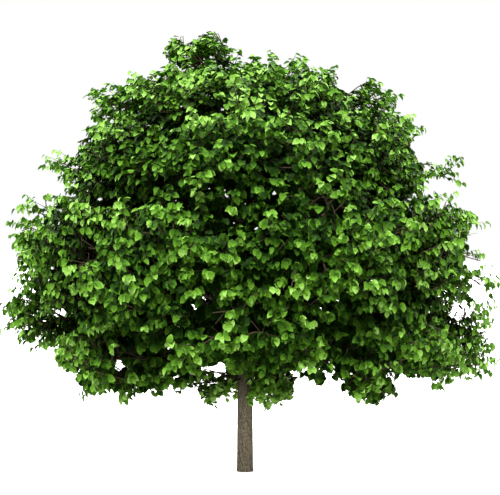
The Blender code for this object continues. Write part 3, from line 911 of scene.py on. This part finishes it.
LEAF_CORNERS = points_of(leaf_pattern)
LEAF_FACES = triangles_of(leaf_pattern)
LEAF_KINDS = np.stack([
    leaf_kind(LEAF_CORNERS),
    leaf_kind(LEAF_CORNERS, mirrored=True, folded=1.5, narrow=0.96, hang=0.6 * TIP_HANG),
    leaf_kind(
        LEAF_CORNERS, uneven=0.5 * LOBE_UNEVEN, folded=1.2, narrow=0.86, hang=1.4 * TIP_HANG
    ),
])
face_middles = LEAF_CORNERS[LEAF_FACES][:, :, 0].mean(axis=1)
# painted shade on the faces at a leaf's base, painted highlight on those at its point
FACE_PAINTED_LIGHT_STEPS = (face_middles > PAINTED_LIGHT_TIP_START).astype(int) - (face_middles < PAINTED_SHADE_BASE_END).astype(int)
bpy.data.objects.remove(leaf_pattern, do_unlink=True)
print("kinds of leaf", len(LEAF_KINDS), "corners each", len(LEAF_CORNERS))

# %% [markdown]
# ## Greens
# The crown is not one green. Leaves at the skin of the crown get a fresh yellow-green and those
# further in darker, less yellow greens, which is painted light at the skin and painted shade
# deeper in. The youngest leaf at a shoot's tip is paler than the rest. Each shade is a plain
# colour of its own. A whole spray leans to one of them, because a tree changes colour from spray
# to spray, and its leaves lie a shade or two around that.

# %% Leaf and twig finishes
# the darker greens also serve as painted shade deep in the crown, the paler ones as painted light
# at its rim, top and sides
LEAF_SHADES = (
    ("leaf_green_deep", (0.009, 0.032, 0.002)),
    ("leaf_green_dark", (0.021, 0.068, 0.004)),
    ("leaf_green_full", (0.044, 0.127, 0.008)),
    ("leaf_green_mid", (0.077, 0.199, 0.013)),
    ("leaf_green_fresh", (0.116, 0.276, 0.022)),
    ("leaf_green_light", (0.185, 0.395, 0.048)),
    ("leaf_green_pale", (0.290, 0.530, 0.105)),
)
TWIG_SHADES = (
    # with the roughness of each
    ("twig_bark_dark", (0.044, 0.030, 0.021), 0.85),
    ("twig_bark_brown", (0.080, 0.055, 0.038), 0.80),
)
LEAF_ROUGHNESS = 0.50
LEAF_SHINE = 0.035
leaf_finishes = [plain_finish(*shade, LEAF_ROUGHNESS, LEAF_SHINE) for shade in LEAF_SHADES]
twig_finishes = [plain_finish(*shade, LEAF_SHINE) for shade in TWIG_SHADES]
print("shades", len(leaf_finishes), "greens,", len(twig_finishes), "twig browns")

# %% [markdown]
# ## Scattering the points that twigs reach for
# A tree fills its space evenly, because a shoot that grows into a gap gets light. So the points
# are chosen one at a time, each as far as can be from all that went before, until the gaps are
# no wider than the spacing wanted there. The spacing is small under the crown's skin and grows
# with depth. A few of the outermost points are then pulled further out, and each long tip that
# was measured on the photo gets a knot of points, so single sprays stand out of the crown. Two
# lists of round spots do the opposite. They keep twig ends, shoots and leaves away from where
# the photo shows sky, and leafy shoots away from where it shows bare twigs in front of a dark
# hollow.

# %% Scattered points
CANDIDATES = 7000
SKIN_SPACING = 0.251
HEART_SPACING = 0.76
SKIN_DEPTH = 1.0
HEART_DEPTH = 2.8
REACH_TRIM = 0.12
CELL_RETREAT = 0.05
LIMB_ROOM = 0.10
ARM_CHANCE = 0.050
ARM_DEPTH = 0.3
ARM_SINK = -0.30
ARM_LENGTHS = (0.25, 0.60)
ARM_WOBBLE = 0.35
ARM_SLACK = 1.02
TIP_POINTS = 7
TIP_SPREAD = 0.24
LONG_TIPS = (
    # across, depth and height of sprays that stand out of the crown
    (-5.58, 0.2, 7.12), (-5.75, -0.3, 6.36), (-3.75, 0.3, 9.80), (-2.85, -0.3, 10.18),
    (-4.88, 0.0, 8.15), (-1.80, 0.0, 11.32), (-0.10, 0.3, 10.50), (0.55, -0.2, 10.70),
    (1.12, 0.3, 10.62), (3.22, 0.0, 10.22), (5.38, 0.2, 8.05), (5.78, -0.2, 6.50),
    (6.35, 0.1, 5.15), (6.40, -0.1, 4.15), (6.15, 0.1, 2.95), (3.10, -3.0, 2.72),
    (-3.72, -2.5, 2.62), (-6.00, 0.0, 4.20), (-1.20, 0.90, 10.85), (-1.02, -0.20, 11.45),
    (-0.90, 1.55, 10.45), (-0.80, -1.50, 10.40), (0.20, 1.10, 10.50), (0.10, -1.00, 10.45),
)
SKY_GAPS = (
    # across, height and radius of places where the photo shows sky, measured at the trunk
    (-5.42, 2.98, 0.30), (-5.44, 2.36, 0.36), (-4.91, 2.30, 0.42), (4.69, 2.22, 0.34),
    (4.84, 8.68, 0.38), (2.82, 10.50, 0.38), (6.14, 6.19, 0.22), (6.03, 5.60, 0.20),
    (6.30, 4.75, 0.18), (5.70, 4.30, 0.16), (1.62, 2.13, 0.35), (2.28, 2.08, 0.38),
    (1.15, 1.62, 0.26), (-0.70, 2.74, 0.21), (-1.47, 1.95, 0.32), (4.05, 1.75, 0.30),
    (-3.75, 10.85, 0.36), (-0.58, 12.00, 0.30), (-2.25, 11.86, 0.38), (-5.70, 7.75, 0.26),
    (-1.40, 11.78, 0.26), (-1.13, 1.60, 0.18), (0.85, 1.58, 0.18), (-6.56, 6.62, 0.20),
    (-3.32, 2.84, 0.17), (-2.86, 2.76, 0.18), (3.86, 2.62, 0.18), (4.21, 2.40, 0.22),
    (2.86, 2.40, 0.12),
)
POCKETS = (
    # the same for places where the photo shows bare twigs in front of a dark hollow
    (-4.29, 6.03, 0.44), (-4.75, 6.30, 0.26), (-3.35, 3.11, 0.36), (-1.47, 4.42, 0.32),
    (-0.85, 4.22, 0.42), (0.27, 4.10, 0.34), (2.28, 7.31, 0.34), (3.10, 3.30, 0.30),
)
POCKET_DEPTH = 1.3


def smooth_share(values, low, high):
    share = np.clip((values - low) / (high - low), 0.0, 1.0)
    return share * share * (3.0 - 2.0 * share)


def seen_in(spots, points):
    """True for the places that the photo's viewer sees within one of the round spots."""
    nearer = -CAMERA_PLACE[1] / (points[:, 1] - CAMERA_PLACE[1])
    across = CAMERA_PLACE[0] + (points[:, 0] - CAMERA_PLACE[0]) * nearer
    height = CAMERA_PLACE[2] + (points[:, 2] - CAMERA_PLACE[2]) * nearer
    hit = np.zeros(len(points), dtype=bool)
    for spot_across, spot_height, radius in spots:
        hit |= (across - spot_across) ** 2 + (height - spot_height) ** 2 < radius**2
    return hit


def stretch_arms(points, depth, rng):
    """Pulls a few of the outermost points further out, no further than the solids reach."""
    wobble = ARM_WOBBLE * rng.normal(0.0, 1.0, points.shape) / math.sqrt(3.0)
    way = unit(unit(points - CROWN_HEART) + wobble)
    pulled = points + way * rng.uniform(*ARM_LENGTHS, (len(points), 1))
    inside = np.all((pulled > np.array(cad_low)) & (pulled < np.array(cad_high)), axis=1)
    arms = (depth < ARM_DEPTH) & (rng.random(len(points)) < ARM_CHANCE)
    arms &= inside & (way[:, 2] > ARM_SINK) & ~seen_in(SKY_GAPS, pulled)
    return np.where(arms[:, None], pulled, points)


def long_tips(mass, rng):
    """Points in a loose knot round each long tip that lies nearest to this mass."""
    knots = np.empty((0, 3))
    for tip in LONG_TIPS:
        place = np.array([tip])
        nearest = min(MASSES, key=lambda other: reach_share(other, place)[0])
        if nearest is mass:
            knot = place + rng.uniform(-TIP_SPREAD, TIP_SPREAD, (TIP_POINTS, 3))
            knots = np.concatenate([knots, knot])
    return knots


def scatter_points(space, rng):
    mass = space.mass
    parts = rng.uniform(-1.0, 1.0, (CANDIDATES, 3))
    upright = np.where(parts[:, 2] > 0.0, mass.radii[2], mass.radii[3])
    arms = parts * np.array((mass.radii[0], mass.radii[1], 1.0))
    arms[:, 2] *= upright
    points = mass.centre + arms @ mass.frame
    kept = reach_share(mass, points, REACH_TRIM + hollow(space, points)) < 1.0
    points = points[kept & in_cell(space.planes, points, -CELL_RETREAT)]
    points = points[clear_of_limbs(points, LIMB_ROOM) & ~seen_in(SKY_GAPS, points)]
    depth = crown_depth(points)
    wider = smooth_share(depth, SKIN_DEPTH, HEART_DEPTH)
    spacing = SKIN_SPACING + (HEART_SPACING - SKIN_SPACING) * wider
    chosen = []
    gap = np.linalg.norm(points - mass.start, axis=1)
    while True:
        score = gap / spacing
        best = int(np.argmax(score))
        if score[best] < 1.0:
            break
        chosen.append(best)
        gap = np.minimum(gap, np.linalg.norm(points - points[best], axis=1))
    knots = long_tips(mass, rng)
    points = np.concatenate([stretch_arms(points[chosen], depth[chosen], rng), knots])
    return points, np.concatenate([depth[chosen], np.zeros(len(knots))])


# %% [markdown]
# ## Growing the twigs
# Every point joins the twig that reaches it most cheaply. The cost is the distance to it plus a
# share of the sap's whole way back to the bough, and a sharp turn costs extra. A low share gives
# wandering twigs, a high one a broom; a third looks like a lime. Long joins get nodes along
# them, wavering a little, so that later twigs may leave from their middle. The thickness comes
# last: a twig is as thick as all the shoots that it feeds ask for, and the stem comes out just
# as thick as the bough's tip.

# %% Twig skeleton
NODE_STEP = 0.34
TURN_COST = 0.45
TWIG_WAVER = 0.045
SHOOT_RADIUS = 0.0115
SETTLE_ROUNDS = 2
SETTLE_SHARE = 0.35
NODES_PER_POINT = 4
SPARE_NODES = 40
PLAIN_NODE_WEIGHT = 0.15
Skeleton = namedtuple("Skeleton", "places parents headings depth target radii")


def grow_skeleton(mass, points, point_depth, rng):
    limit = NODES_PER_POINT * len(points) + SPARE_NODES
    places = np.empty((limit, 3))
    headings = np.empty((limit, 3))
    ways = np.empty(limit)
    parents = np.full(limit, -1)
    target = np.zeros(limit, dtype=bool)
    depth = np.full(limit, HEART_DEPTH)
    first_way = unit(mass.lead - mass.start)
    places[0], headings[0], ways[0] = mass.start, first_way, 0.0
    count = 1

    def reach_for(goal, parent):
        """Adds nodes from a parent to a goal, about a node step apart."""
        nonlocal count
        arm = goal - places[parent]
        length = np.linalg.norm(arm)
        parts = max(1, int(round(length / NODE_STEP)))
        origin = places[parent].copy()
        for part in range(1, parts + 1):
            place = origin + arm * part / parts
            if part < parts:
                place = place + rng.normal(0.0, TWIG_WAVER, 3)
            places[count] = place
            headings[count] = unit(place - places[parent])
            ways[count] = ways[parent] + np.linalg.norm(place - places[parent])
            parents[count] = parent
            parent = count
            count += 1
        return parent

    reach_for(mass.centre, reach_for(mass.lead, 0))
    order = np.argsort(np.linalg.norm(points - mass.start, axis=1))
    for point, its_depth in zip(points[order], point_depth[order]):
        arms = point - places[:count]
        length = np.linalg.norm(arms, axis=1)
        turn = 1.0 - np.einsum("ij,ij->i", arms, headings[:count]) / np.maximum(length, 1e-6)
        cost = length * (1.0 + TURN_COST * turn) + PATH_BIAS * ways[:count]
        end = reach_for(point, int(np.argmin(cost)))
        target[end] = True
        depth[end] = its_depth
    places, headings, parents = places[:count], headings[:count], parents[:count]
    shoots = np.where(target[:count], 1.0, PLAIN_NODE_WEIGHT)
    for node in range(count - 1, 0, -1):
        shoots[parents[node]] += shoots[node]
    power = math.log(shoots[0]) / math.log(mass.stem_radius / SHOOT_RADIUS)
    radii = SHOOT_RADIUS * np.maximum(shoots, 1.0) ** (1.0 / power)
    return Skeleton(places, parents, headings, depth[:count], target[:count], radii)


def thickest_children(skeleton):
    """For each node, the child that carries its line on, or -1 at a twig's end."""
    onward = np.full(len(skeleton.places), -1)
    for node in range(1, len(skeleton.places)):
        parent = skeleton.parents[node]
        if onward[parent] < 0 or skeleton.radii[node] > skeleton.radii[onward[parent]]:
            onward[parent] = node
    return onward


def settle(skeleton, onward):
    """Eases the bends of twigs, which the straight joins leave sharp."""
    places = skeleton.places
    inside = np.where((onward >= 0) & (skeleton.parents > 0))[0]
    for _ in range(SETTLE_ROUNDS):
        middle = 0.5 * (places[skeleton.parents[inside]] + places[onward[inside]])
        places[inside] += SETTLE_SHARE * (middle - places[inside])


# %% [markdown]
# ## Skinning the twigs
# Each line of nodes, from where it leaves its parent to its last node, becomes one tapering
# tube. The tubes are worked out as tables of corners and triangles, because thousands of small
# objects would take minutes to join. Stems get seven sides and the finest twigs three.

# %% Tubes from lines of nodes
UPRIGHT_LIMIT = 0.1
FOOT_SWELL = 1.2
TUBE_SIDES = ((0.028, 7), (0.013, 4), (0.0, 3))


def tube_arrays(line, radii, sides):
    """Corners and triangles of a tube along a line of points, closed at its end."""
    count = len(line)
    ahead = np.empty((count, 3))
    ahead[1:-1] = line[2:] - line[:-2]
    ahead[0] = line[1] - line[0]
    ahead[-1] = line[-1] - line[-2]
    ahead = unit(ahead)
    side = np.cross(ahead[0], UP)
    if np.linalg.norm(side) < UPRIGHT_LIMIT:
        side = np.cross(ahead[0], np.array((1.0, 0.0, 0.0)))
    turns = np.arange(sides) * (2.0 * math.pi / sides)
    corners = np.empty((count, sides, 3))
    for station in range(count):
        side = unit(side - (side @ ahead[station]) * ahead[station])
        over = np.cross(ahead[station], side)
        around = np.cos(turns)[:, None] * side + np.sin(turns)[:, None] * over
        corners[station] = line[station] + radii[station] * around
    base = np.arange(sides)
    after = (base + 1) % sides
    faces = []
    for station in range(count - 1):
        low = station * sides
        high = low + sides
        faces.append(np.stack([low + base, low + after, high + after], axis=1))
        faces.append(np.stack([low + base, high + after, high + base], axis=1))
    tip = count * sides
    faces.append(np.stack([tip - sides + base, tip - sides + after, np.full(sides, tip)], axis=1))
    end = line[-1] + ahead[-1] * radii[-1]
    return np.concatenate([corners.reshape(-1, 3), end[None]]), np.concatenate(faces)


def sides_for(radius):
    return next(sides for least, sides in TUBE_SIDES if radius > least)


def skin_twigs(skeleton, onward):
    """Tubes for all lines of a skeleton, as a list of corners, triangles and thickness."""
    tubes = []
    for node in range(1, len(skeleton.places)):
        parent = skeleton.parents[node]
        if parent > 0 and onward[parent] == node:
            continue
        line = [parent, node]
        while onward[line[-1]] >= 0:
            line.append(onward[line[-1]])
        radii = skeleton.radii[line].copy()
        radii[0] = min(radii[0], FOOT_SWELL * radii[1])
        tubes.append((*tube_arrays(skeleton.places[line], radii, sides_for(radii[1])), radii[1]))
    return tubes


# %% [markdown]
# ## Sprays
# At the ends of the twigs sit the leafy shoots. A lime's shoot is a forearm long, arches over
# under its own leaves and carries them in turn left and right, with one at the tip. Every point
# that a twig has reached for grows one, and so does about every second node on the way. A few
# stretch out of the crown with their lower half bare, as this year's strongest shoots do. A
# shoot that would leave the mass's reach is turned back towards its centre. One that would touch
# a limb is left out, and so is one whose tip lies in a sky gap, in the mouth of a dark hollow or
# well outside the solids' box.

# %% Shoots
SHOOT_LENGTHS = (0.30, 0.48)
SHOOT_DROOP = 0.16
SHOOT_ONWARD = 0.60
SHOOT_OUTWARD = 0.70
SHOOT_UPWARD = 0.10
SHOOT_WOBBLE = 0.55
LEAFY_DEPTH = 4.5
SIDE_SHOOT_CHANCE = 0.50
LONG_SHOOT_CHANCE = 0.05
LONG_SHOOT_STRETCH = 1.45
LONG_SHOOT_DEPTH = 0.5
REACH_SLACK = 1.07
CELL_SLACK = 0.22
LEAF_LIMB_ROOM = 0.05
HOLLOW_SLACK = 0.8
BOX_SLACK = 0.15
TURN_BACK = 1.1
MIDDLE_SHARE = 0.6
Shoots = namedtuple("Shoots", "base way length depth bare")


def sprout(space, skeleton, rng):
    mass = space.mass
    depth = crown_depth(skeleton.places)
    chance = np.where(skeleton.target, 1.0, SIDE_SHOOT_CHANCE)
    leafy = (depth < LEAFY_DEPTH) & (rng.random(len(depth)) < chance) & (skeleton.parents > 0)
    base = skeleton.places[leafy]
    outward = unit(base - CROWN_HEART)
    way = (
        SHOOT_ONWARD * skeleton.headings[leafy] + SHOOT_OUTWARD * outward
        + SHOOT_UPWARD * UP + SHOOT_WOBBLE * rng.normal(0.0, 1.0, base.shape) / math.sqrt(3.0)
    )
    way = unit(way)
    length = rng.uniform(*SHOOT_LENGTHS, len(base))
    bare = (rng.random(len(base)) < LONG_SHOOT_CHANCE) & (depth[leafy] < LONG_SHOOT_DEPTH)
    bare &= way[:, 2] > ARM_SINK
    length = np.where(bare, length * LONG_SHOOT_STRETCH, length)
    tip = base + way * length[:, None]
    outside = reach_share(mass, tip, HOLLOW_SLACK * hollow(space, tip)) > REACH_SLACK
    arm = reach_share(mass, base, REACH_TRIM + hollow(space, base)) > ARM_SLACK
    outside = (outside | ~in_cell(space.planes, tip, CELL_SLACK)) & ~bare & ~arm
    outside |= seen_in(SKY_GAPS, tip)
    turned = unit(way + TURN_BACK * unit(mass.centre - base))
    way = np.where(outside[:, None], turned, way)
    kept = clear_of_limbs(base + way * (MIDDLE_SHARE * length)[:, None], LEAF_LIMB_ROOM)
    tip = base + way * length[:, None]
    hollow_front = (tip[:, 1] < 0.0) & (depth[leafy] < POCKET_DEPTH)
    kept &= ~seen_in(SKY_GAPS, tip) & ~(seen_in(POCKETS, tip) & hollow_front)
    low, high = np.array(cad_low) - BOX_SLACK, np.array(cad_high) + BOX_SLACK
    kept &= np.all((tip > low) & (tip < high), axis=1)
    return Shoots(base[kept], way[kept], length[kept], depth[leafy][kept], bare[kept])


def shoot_points(shoots, shares):
    """Places along every shoot, which arches over as it goes."""
    share = np.asarray(shares)[None, :, None]
    straight = shoots.base[:, None] + shoots.way[:, None] * shoots.length[:, None, None] * share
    return straight - UP * SHOOT_DROOP * shoots.length[:, None, None] * share**2


# %% Shoots as thin tubes
SHOOT_SIDES = 3
SHOOT_STATIONS = (0.0, 0.5, 1.0)
SHOOT_TAPER = (0.0070, 0.0055, 0.0035)


def skin_shoots(shoots):
    """All shoots' tubes at once: three sides, two stretches, closed at the tip."""
    line = shoot_points(shoots, SHOOT_STATIONS)
    side = unit(np.cross(shoots.way, UP + 0.01))
    over = np.cross(shoots.way, side)
    turns = np.arange(SHOOT_SIDES) * (2.0 * math.pi / SHOOT_SIDES)
    sideways = np.cos(turns)[None, :, None] * side[:, None]
    around = sideways + np.sin(turns)[None, :, None] * over[:, None]
    radii = np.array(SHOOT_TAPER)[None, :, None, None]
    corners = (line[:, :, None] + radii * around[:, None]).reshape(len(line), -1, 3)
    base = np.arange(SHOOT_SIDES)
    after = (base + 1) % SHOOT_SIDES
    faces = []
    for low in range(0, SHOOT_SIDES * (len(SHOOT_STATIONS) - 1), SHOOT_SIDES):
        high = low + SHOOT_SIDES
        faces.append(np.stack([low + base, low + after, high + after], axis=1))
        faces.append(np.stack([low + base, high + after, high + base], axis=1))
    last = SHOOT_SIDES * (len(SHOOT_STATIONS) - 1)
    faces.append(np.array([[last, last + 1, last + 2]]))
    return repeat_pattern(corners, np.concatenate(faces))


def repeat_pattern(corners, faces):
    """Joins many copies of one pattern, whose corners are given copy by copy."""
    copies, each = corners.shape[:2]
    shift = (np.arange(copies) * each)[:, None, None]
    return corners.reshape(-1, 3), (faces[None] + shift).reshape(-1, 3)


# %% [markdown]
# ## Hanging the leaves
# A leaf on a lime turns its face to the light, which means outwards and up, and lets its point
# hang. So each leaf gets three directions: its face, leaning out of the crown and up with some
# wobble; its length, which goes along the shoot, swings to its own side and sinks; and across
# those two its width. The three make the turn that lays the pattern in its place. Leaves that
# grow in the shade inside the crown are larger than those in the sun, on a real lime too. Long
# shoots carry leaves on their outer half alone, and a leaf whose point would lie in a sky gap is
# left out, by a line that wavers a little so that no gap has a sharp edge.

# %% Leaves on the shoots
LEAF_LENGTHS = (0.150, 0.215)
SHADE_LEAF_STRETCH = 0.95
SHADE_LEAF_DEPTHS = (0.8, 2.2)
LEAF_PLACES = (0.12, 0.30, 0.48, 0.65, 0.82, 1.0)
BARE_LEAVES = (False, False, False, True, True, True)
FACE_OUT = 0.95
FACE_UP = 0.42
FACE_WOBBLE = 0.72
LEAF_ONWARD = 0.50
LEAF_SWING = 0.80
LEAF_HANG = 1.00
LEAF_WOBBLE = 0.30
GAP_WOBBLE = 0.04
WOBBLE_EASE = 1.7
TIP_SWING = 0.15
TIP_LEAF_SHARE = 0.86
Leaves = namedtuple("Leaves", "root along side face size kind shade")


def hang_leaves(mass, shoots, rng):
    roots = shoot_points(shoots, LEAF_PLACES)
    copies, each = roots.shape[:2]
    way = np.repeat(shoots.way[:, None], each, axis=1)
    outward = unit(roots - CROWN_HEART)
    face = unit(
        FACE_OUT * outward + FACE_UP * UP
        + FACE_WOBBLE * rng.normal(0.0, 1.0, roots.shape) / WOBBLE_EASE
    )
    swing = np.where(np.arange(each) % 2 == 0, 1.0, -1.0) * rng.choice((-1.0, 1.0), (copies, 1))
    swing[:, -1] *= TIP_SWING
    beside = unit(np.cross(face, way))
    along = (
        LEAF_ONWARD * way + LEAF_SWING * swing[:, :, None] * beside
        - LEAF_HANG * UP + LEAF_WOBBLE * rng.normal(0.0, 1.0, roots.shape) / WOBBLE_EASE
    )
    along = unit(along - (along * face).sum(axis=2, keepdims=True) * face)
    size = rng.uniform(*LEAF_LENGTHS, (copies, each))
    size *= 1.0 + SHADE_LEAF_STRETCH * smooth_share(shoots.depth, *SHADE_LEAF_DEPTHS)[:, None]
    size[:, -1] *= TIP_LEAF_SHARE
    kind = rng.integers(0, len(LEAF_KINDS), (copies, each))
    shade = spray_shades(mass, shoots, each, rng)
    kept = np.where(shoots.bare[:, None], np.array(BARE_LEAVES)[None], True)
    points = roots + along * size[:, :, None] + rng.normal(0.0, GAP_WOBBLE, roots.shape)
    kept &= ~seen_in(SKY_GAPS, points.reshape(-1, 3)).reshape(copies, each)
    columns = (roots, along, np.cross(face, along), face, size, kind, shade)
    return Leaves(*[column[kept] for column in columns])


# %% [markdown]
# ## Which green goes where
# A spray takes its green from where it grows, and most of that is painted light and shade. At
# the skin of the crown it is lighter than further in, where the darker greens are painted shade,
# and lighter still where it stands out of its mass, near the top, at the crown's sides and
# beside the trunk, where the paler greens are painted light. Chance adds a little to the whole
# spray and a little to each leaf, and the leaf at a shoot's tip is paler, because it is young.

# %% Shades dealt out by spray
SKIN_SHADE = 2.9
# painted light: sprays near the top of the crown get paler greens
PAINTED_TOP_LIGHT = 1.3
PAINTED_TOP_LIGHT_HEIGHTS = (8.0, 11.0)
# painted light: sprays at the crown's left and right sides get paler greens
PAINTED_SIDE_LIGHT = 1.1
PAINTED_SIDE_LIGHT_REACHES = (3.0, 5.5)
# painted light: sprays that stand out of their mass get paler greens
PAINTED_STANDING_LIGHT = 1.9
PAINTED_STANDING_LIGHT_REACHES = (0.80, 1.02)
# painted shade: sprays deeper under the crown's skin get darker greens
PAINTED_DEPTH_SHADE = 1.8
SPRAY_SHADE_SPREAD = 0.80
LEAF_SHADE_SPREAD = 1.9
TIP_SHADE = 1.0
# painted light: sprays of the inner masses beside the trunk get paler greens
PAINTED_INNER_LIGHT = 1.5


def spray_shades(mass, shoots, each, rng):
    tips = shoots.base + shoots.way * shoots.length[:, None]
    # painted light where a spray stands out, near the top, at the sides and beside the trunk;
    # painted shade with depth
    stand_out_light = smooth_share(reach_share(mass, tips), *PAINTED_STANDING_LIGHT_REACHES)
    level = SKIN_SHADE + PAINTED_STANDING_LIGHT * stand_out_light - PAINTED_DEPTH_SHADE * shoots.depth
    level += PAINTED_TOP_LIGHT * smooth_share(tips[:, 2], *PAINTED_TOP_LIGHT_HEIGHTS)
    level += PAINTED_SIDE_LIGHT * smooth_share(np.abs(tips[:, 0]), *PAINTED_SIDE_LIGHT_REACHES)
    level += PAINTED_INNER_LIGHT * mass.name.startswith("foliage_inner")
    level += rng.normal(0.0, SPRAY_SHADE_SPREAD, len(level))
    shades = np.repeat(level[:, None], each, axis=1)
    shades = shades + rng.uniform(-LEAF_SHADE_SPREAD, LEAF_SHADE_SPREAD, shades.shape)
    shades[:, -1] += TIP_SHADE
    return np.clip(np.round(shades), 0, len(LEAF_SHADES) - 1).astype(int)


def leaf_arrays(leaves):
    """Corners, triangles and shades of all the leaves of one mass."""
    pattern = LEAF_KINDS[leaves.kind] * leaves.size[:, None, None]
    axes = np.stack([leaves.along, leaves.side, leaves.face], axis=1)
    corners = leaves.root[:, None] + pattern @ axes
    faces = np.repeat(LEAF_FACES[None], len(corners), axis=0)
    mirrored = leaves.kind == MIRRORED_KIND
    faces[mirrored] = faces[mirrored][:, :, ::-1]
    shift = (np.arange(len(corners)) * corners.shape[1])[:, None, None]
    # each leaf's base faces take the painted shade step and its point faces the painted highlight
    # step
    looks = np.clip(leaves.shade[:, None] + FACE_PAINTED_LIGHT_STEPS, 0, len(LEAF_SHADES) - 1).ravel()
    return corners.reshape(-1, 3), (faces + shift).reshape(-1, 3), looks


# %% [markdown]
# ## Growing all the masses
# Every mass has a seed of its own, so a change to one leaves the others as they were. Its tables
# of corners and triangles are kept until all masses are grown.

# %% Grow the crown
SEED_STEP = 1000
THIN_TWIG_RADIUS = 0.02
Grown = namedtuple("Grown", "mass leaves twigs")


def grow_mass(mass, seed):
    rng = np.random.default_rng(seed)
    space = mass_space(mass, rng)
    points, depth = scatter_points(space, rng)
    skeleton = grow_skeleton(mass, points, depth, rng)
    onward = thickest_children(skeleton)
    settle(skeleton, onward)
    shoots = sprout(space, skeleton, rng)
    leaves = hang_leaves(mass, shoots, rng)
    tubes = skin_twigs(skeleton, onward)
    twigs = [
        (corners, faces, int(radius < THIN_TWIG_RADIUS)) for corners, faces, radius in tubes
    ]
    twigs.append((*skin_shoots(shoots), 1))
    return Grown(mass, leaf_arrays(leaves), twigs)


GROWN = [grow_mass(mass, SEED * SEED_STEP + index) for index, mass in enumerate(MASSES)]
leaf_total = sum(len(grown.leaves[2]) for grown in GROWN) // len(LEAF_FACES)
twig_total = sum(len(faces) for grown in GROWN for _, faces, _ in grown.twigs)
print("leaves", leaf_total, "of", len(LEAF_FACES), "triangles, twig triangles", twig_total)

# %% [markdown]
# ## Joining them into pieces
# One object for each leaf would choke any program, and one object for the whole crown would be
# thinned by programs that take no more than two hundred thousand triangles a piece. So whole
# masses are packed into a piece until it is nearly full, leaves and twigs apart.

# %% Pieces of leaves and twigs
PIECE_LIMIT = 195000


def join_arrays(parts):
    """One table of corners, one of triangles and one of finishes, from many."""
    corners = np.concatenate([part[0] for part in parts])
    shifts = np.cumsum([0] + [len(part[0]) for part in parts[:-1]])
    faces = np.concatenate([part[1] + shift for part, shift in zip(parts, shifts)])
    looks = np.concatenate([np.broadcast_to(part[2], len(part[1])) for part in parts])
    return corners, faces, looks


def make_piece(name, parts, finishes, masses):
    corners, faces, looks = join_arrays(parts)
    mesh = bpy.data.meshes.new(name)
    mesh.vertices.add(len(corners))
    mesh.vertices.foreach_set("co", corners.ravel())
    mesh.loops.add(faces.size)
    mesh.loops.foreach_set("vertex_index", faces.ravel())
    mesh.polygons.add(len(faces))
    mesh.polygons.foreach_set("loop_start", np.arange(len(faces)) * 3)
    for finish in finishes:
        mesh.materials.append(finish)
    mesh.polygons.foreach_set("material_index", looks)
    mesh.update(calc_edges=True)
    mesh.shade_smooth()
    piece = bpy.data.objects.new(name, mesh)
    bpy.context.scene.collection.objects.link(piece)
    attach(piece, "root")
    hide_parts(*[mass.name for mass in masses])
    print(name, len(faces), "triangles,", len(masses), "masses")
    return piece


def pack_pieces(kind, tables, finishes):
    """Fills one piece after another up to the limit; tables holds each mass with its parts."""
    waiting, filled, number = [], 0, 1
    for mass, parts in tables + [(None, [])]:
        size = sum(len(part[1]) for part in parts)
        if waiting and (mass is None or filled + size > PIECE_LIMIT):
            joined = [part for _, its_parts in waiting for part in its_parts]
            owners = [owner for owner, _ in waiting]
            make_piece("%s_%d" % (kind, number), joined, finishes, owners)
            waiting, filled, number = [], 0, number + 1
        waiting.append((mass, parts))
        filled += size


pack_pieces("leaves", [(grown.mass, [grown.leaves]) for grown in GROWN], leaf_finishes)
pack_pieces("twigs", [(grown.mass, grown.twigs) for grown in GROWN], twig_finishes)
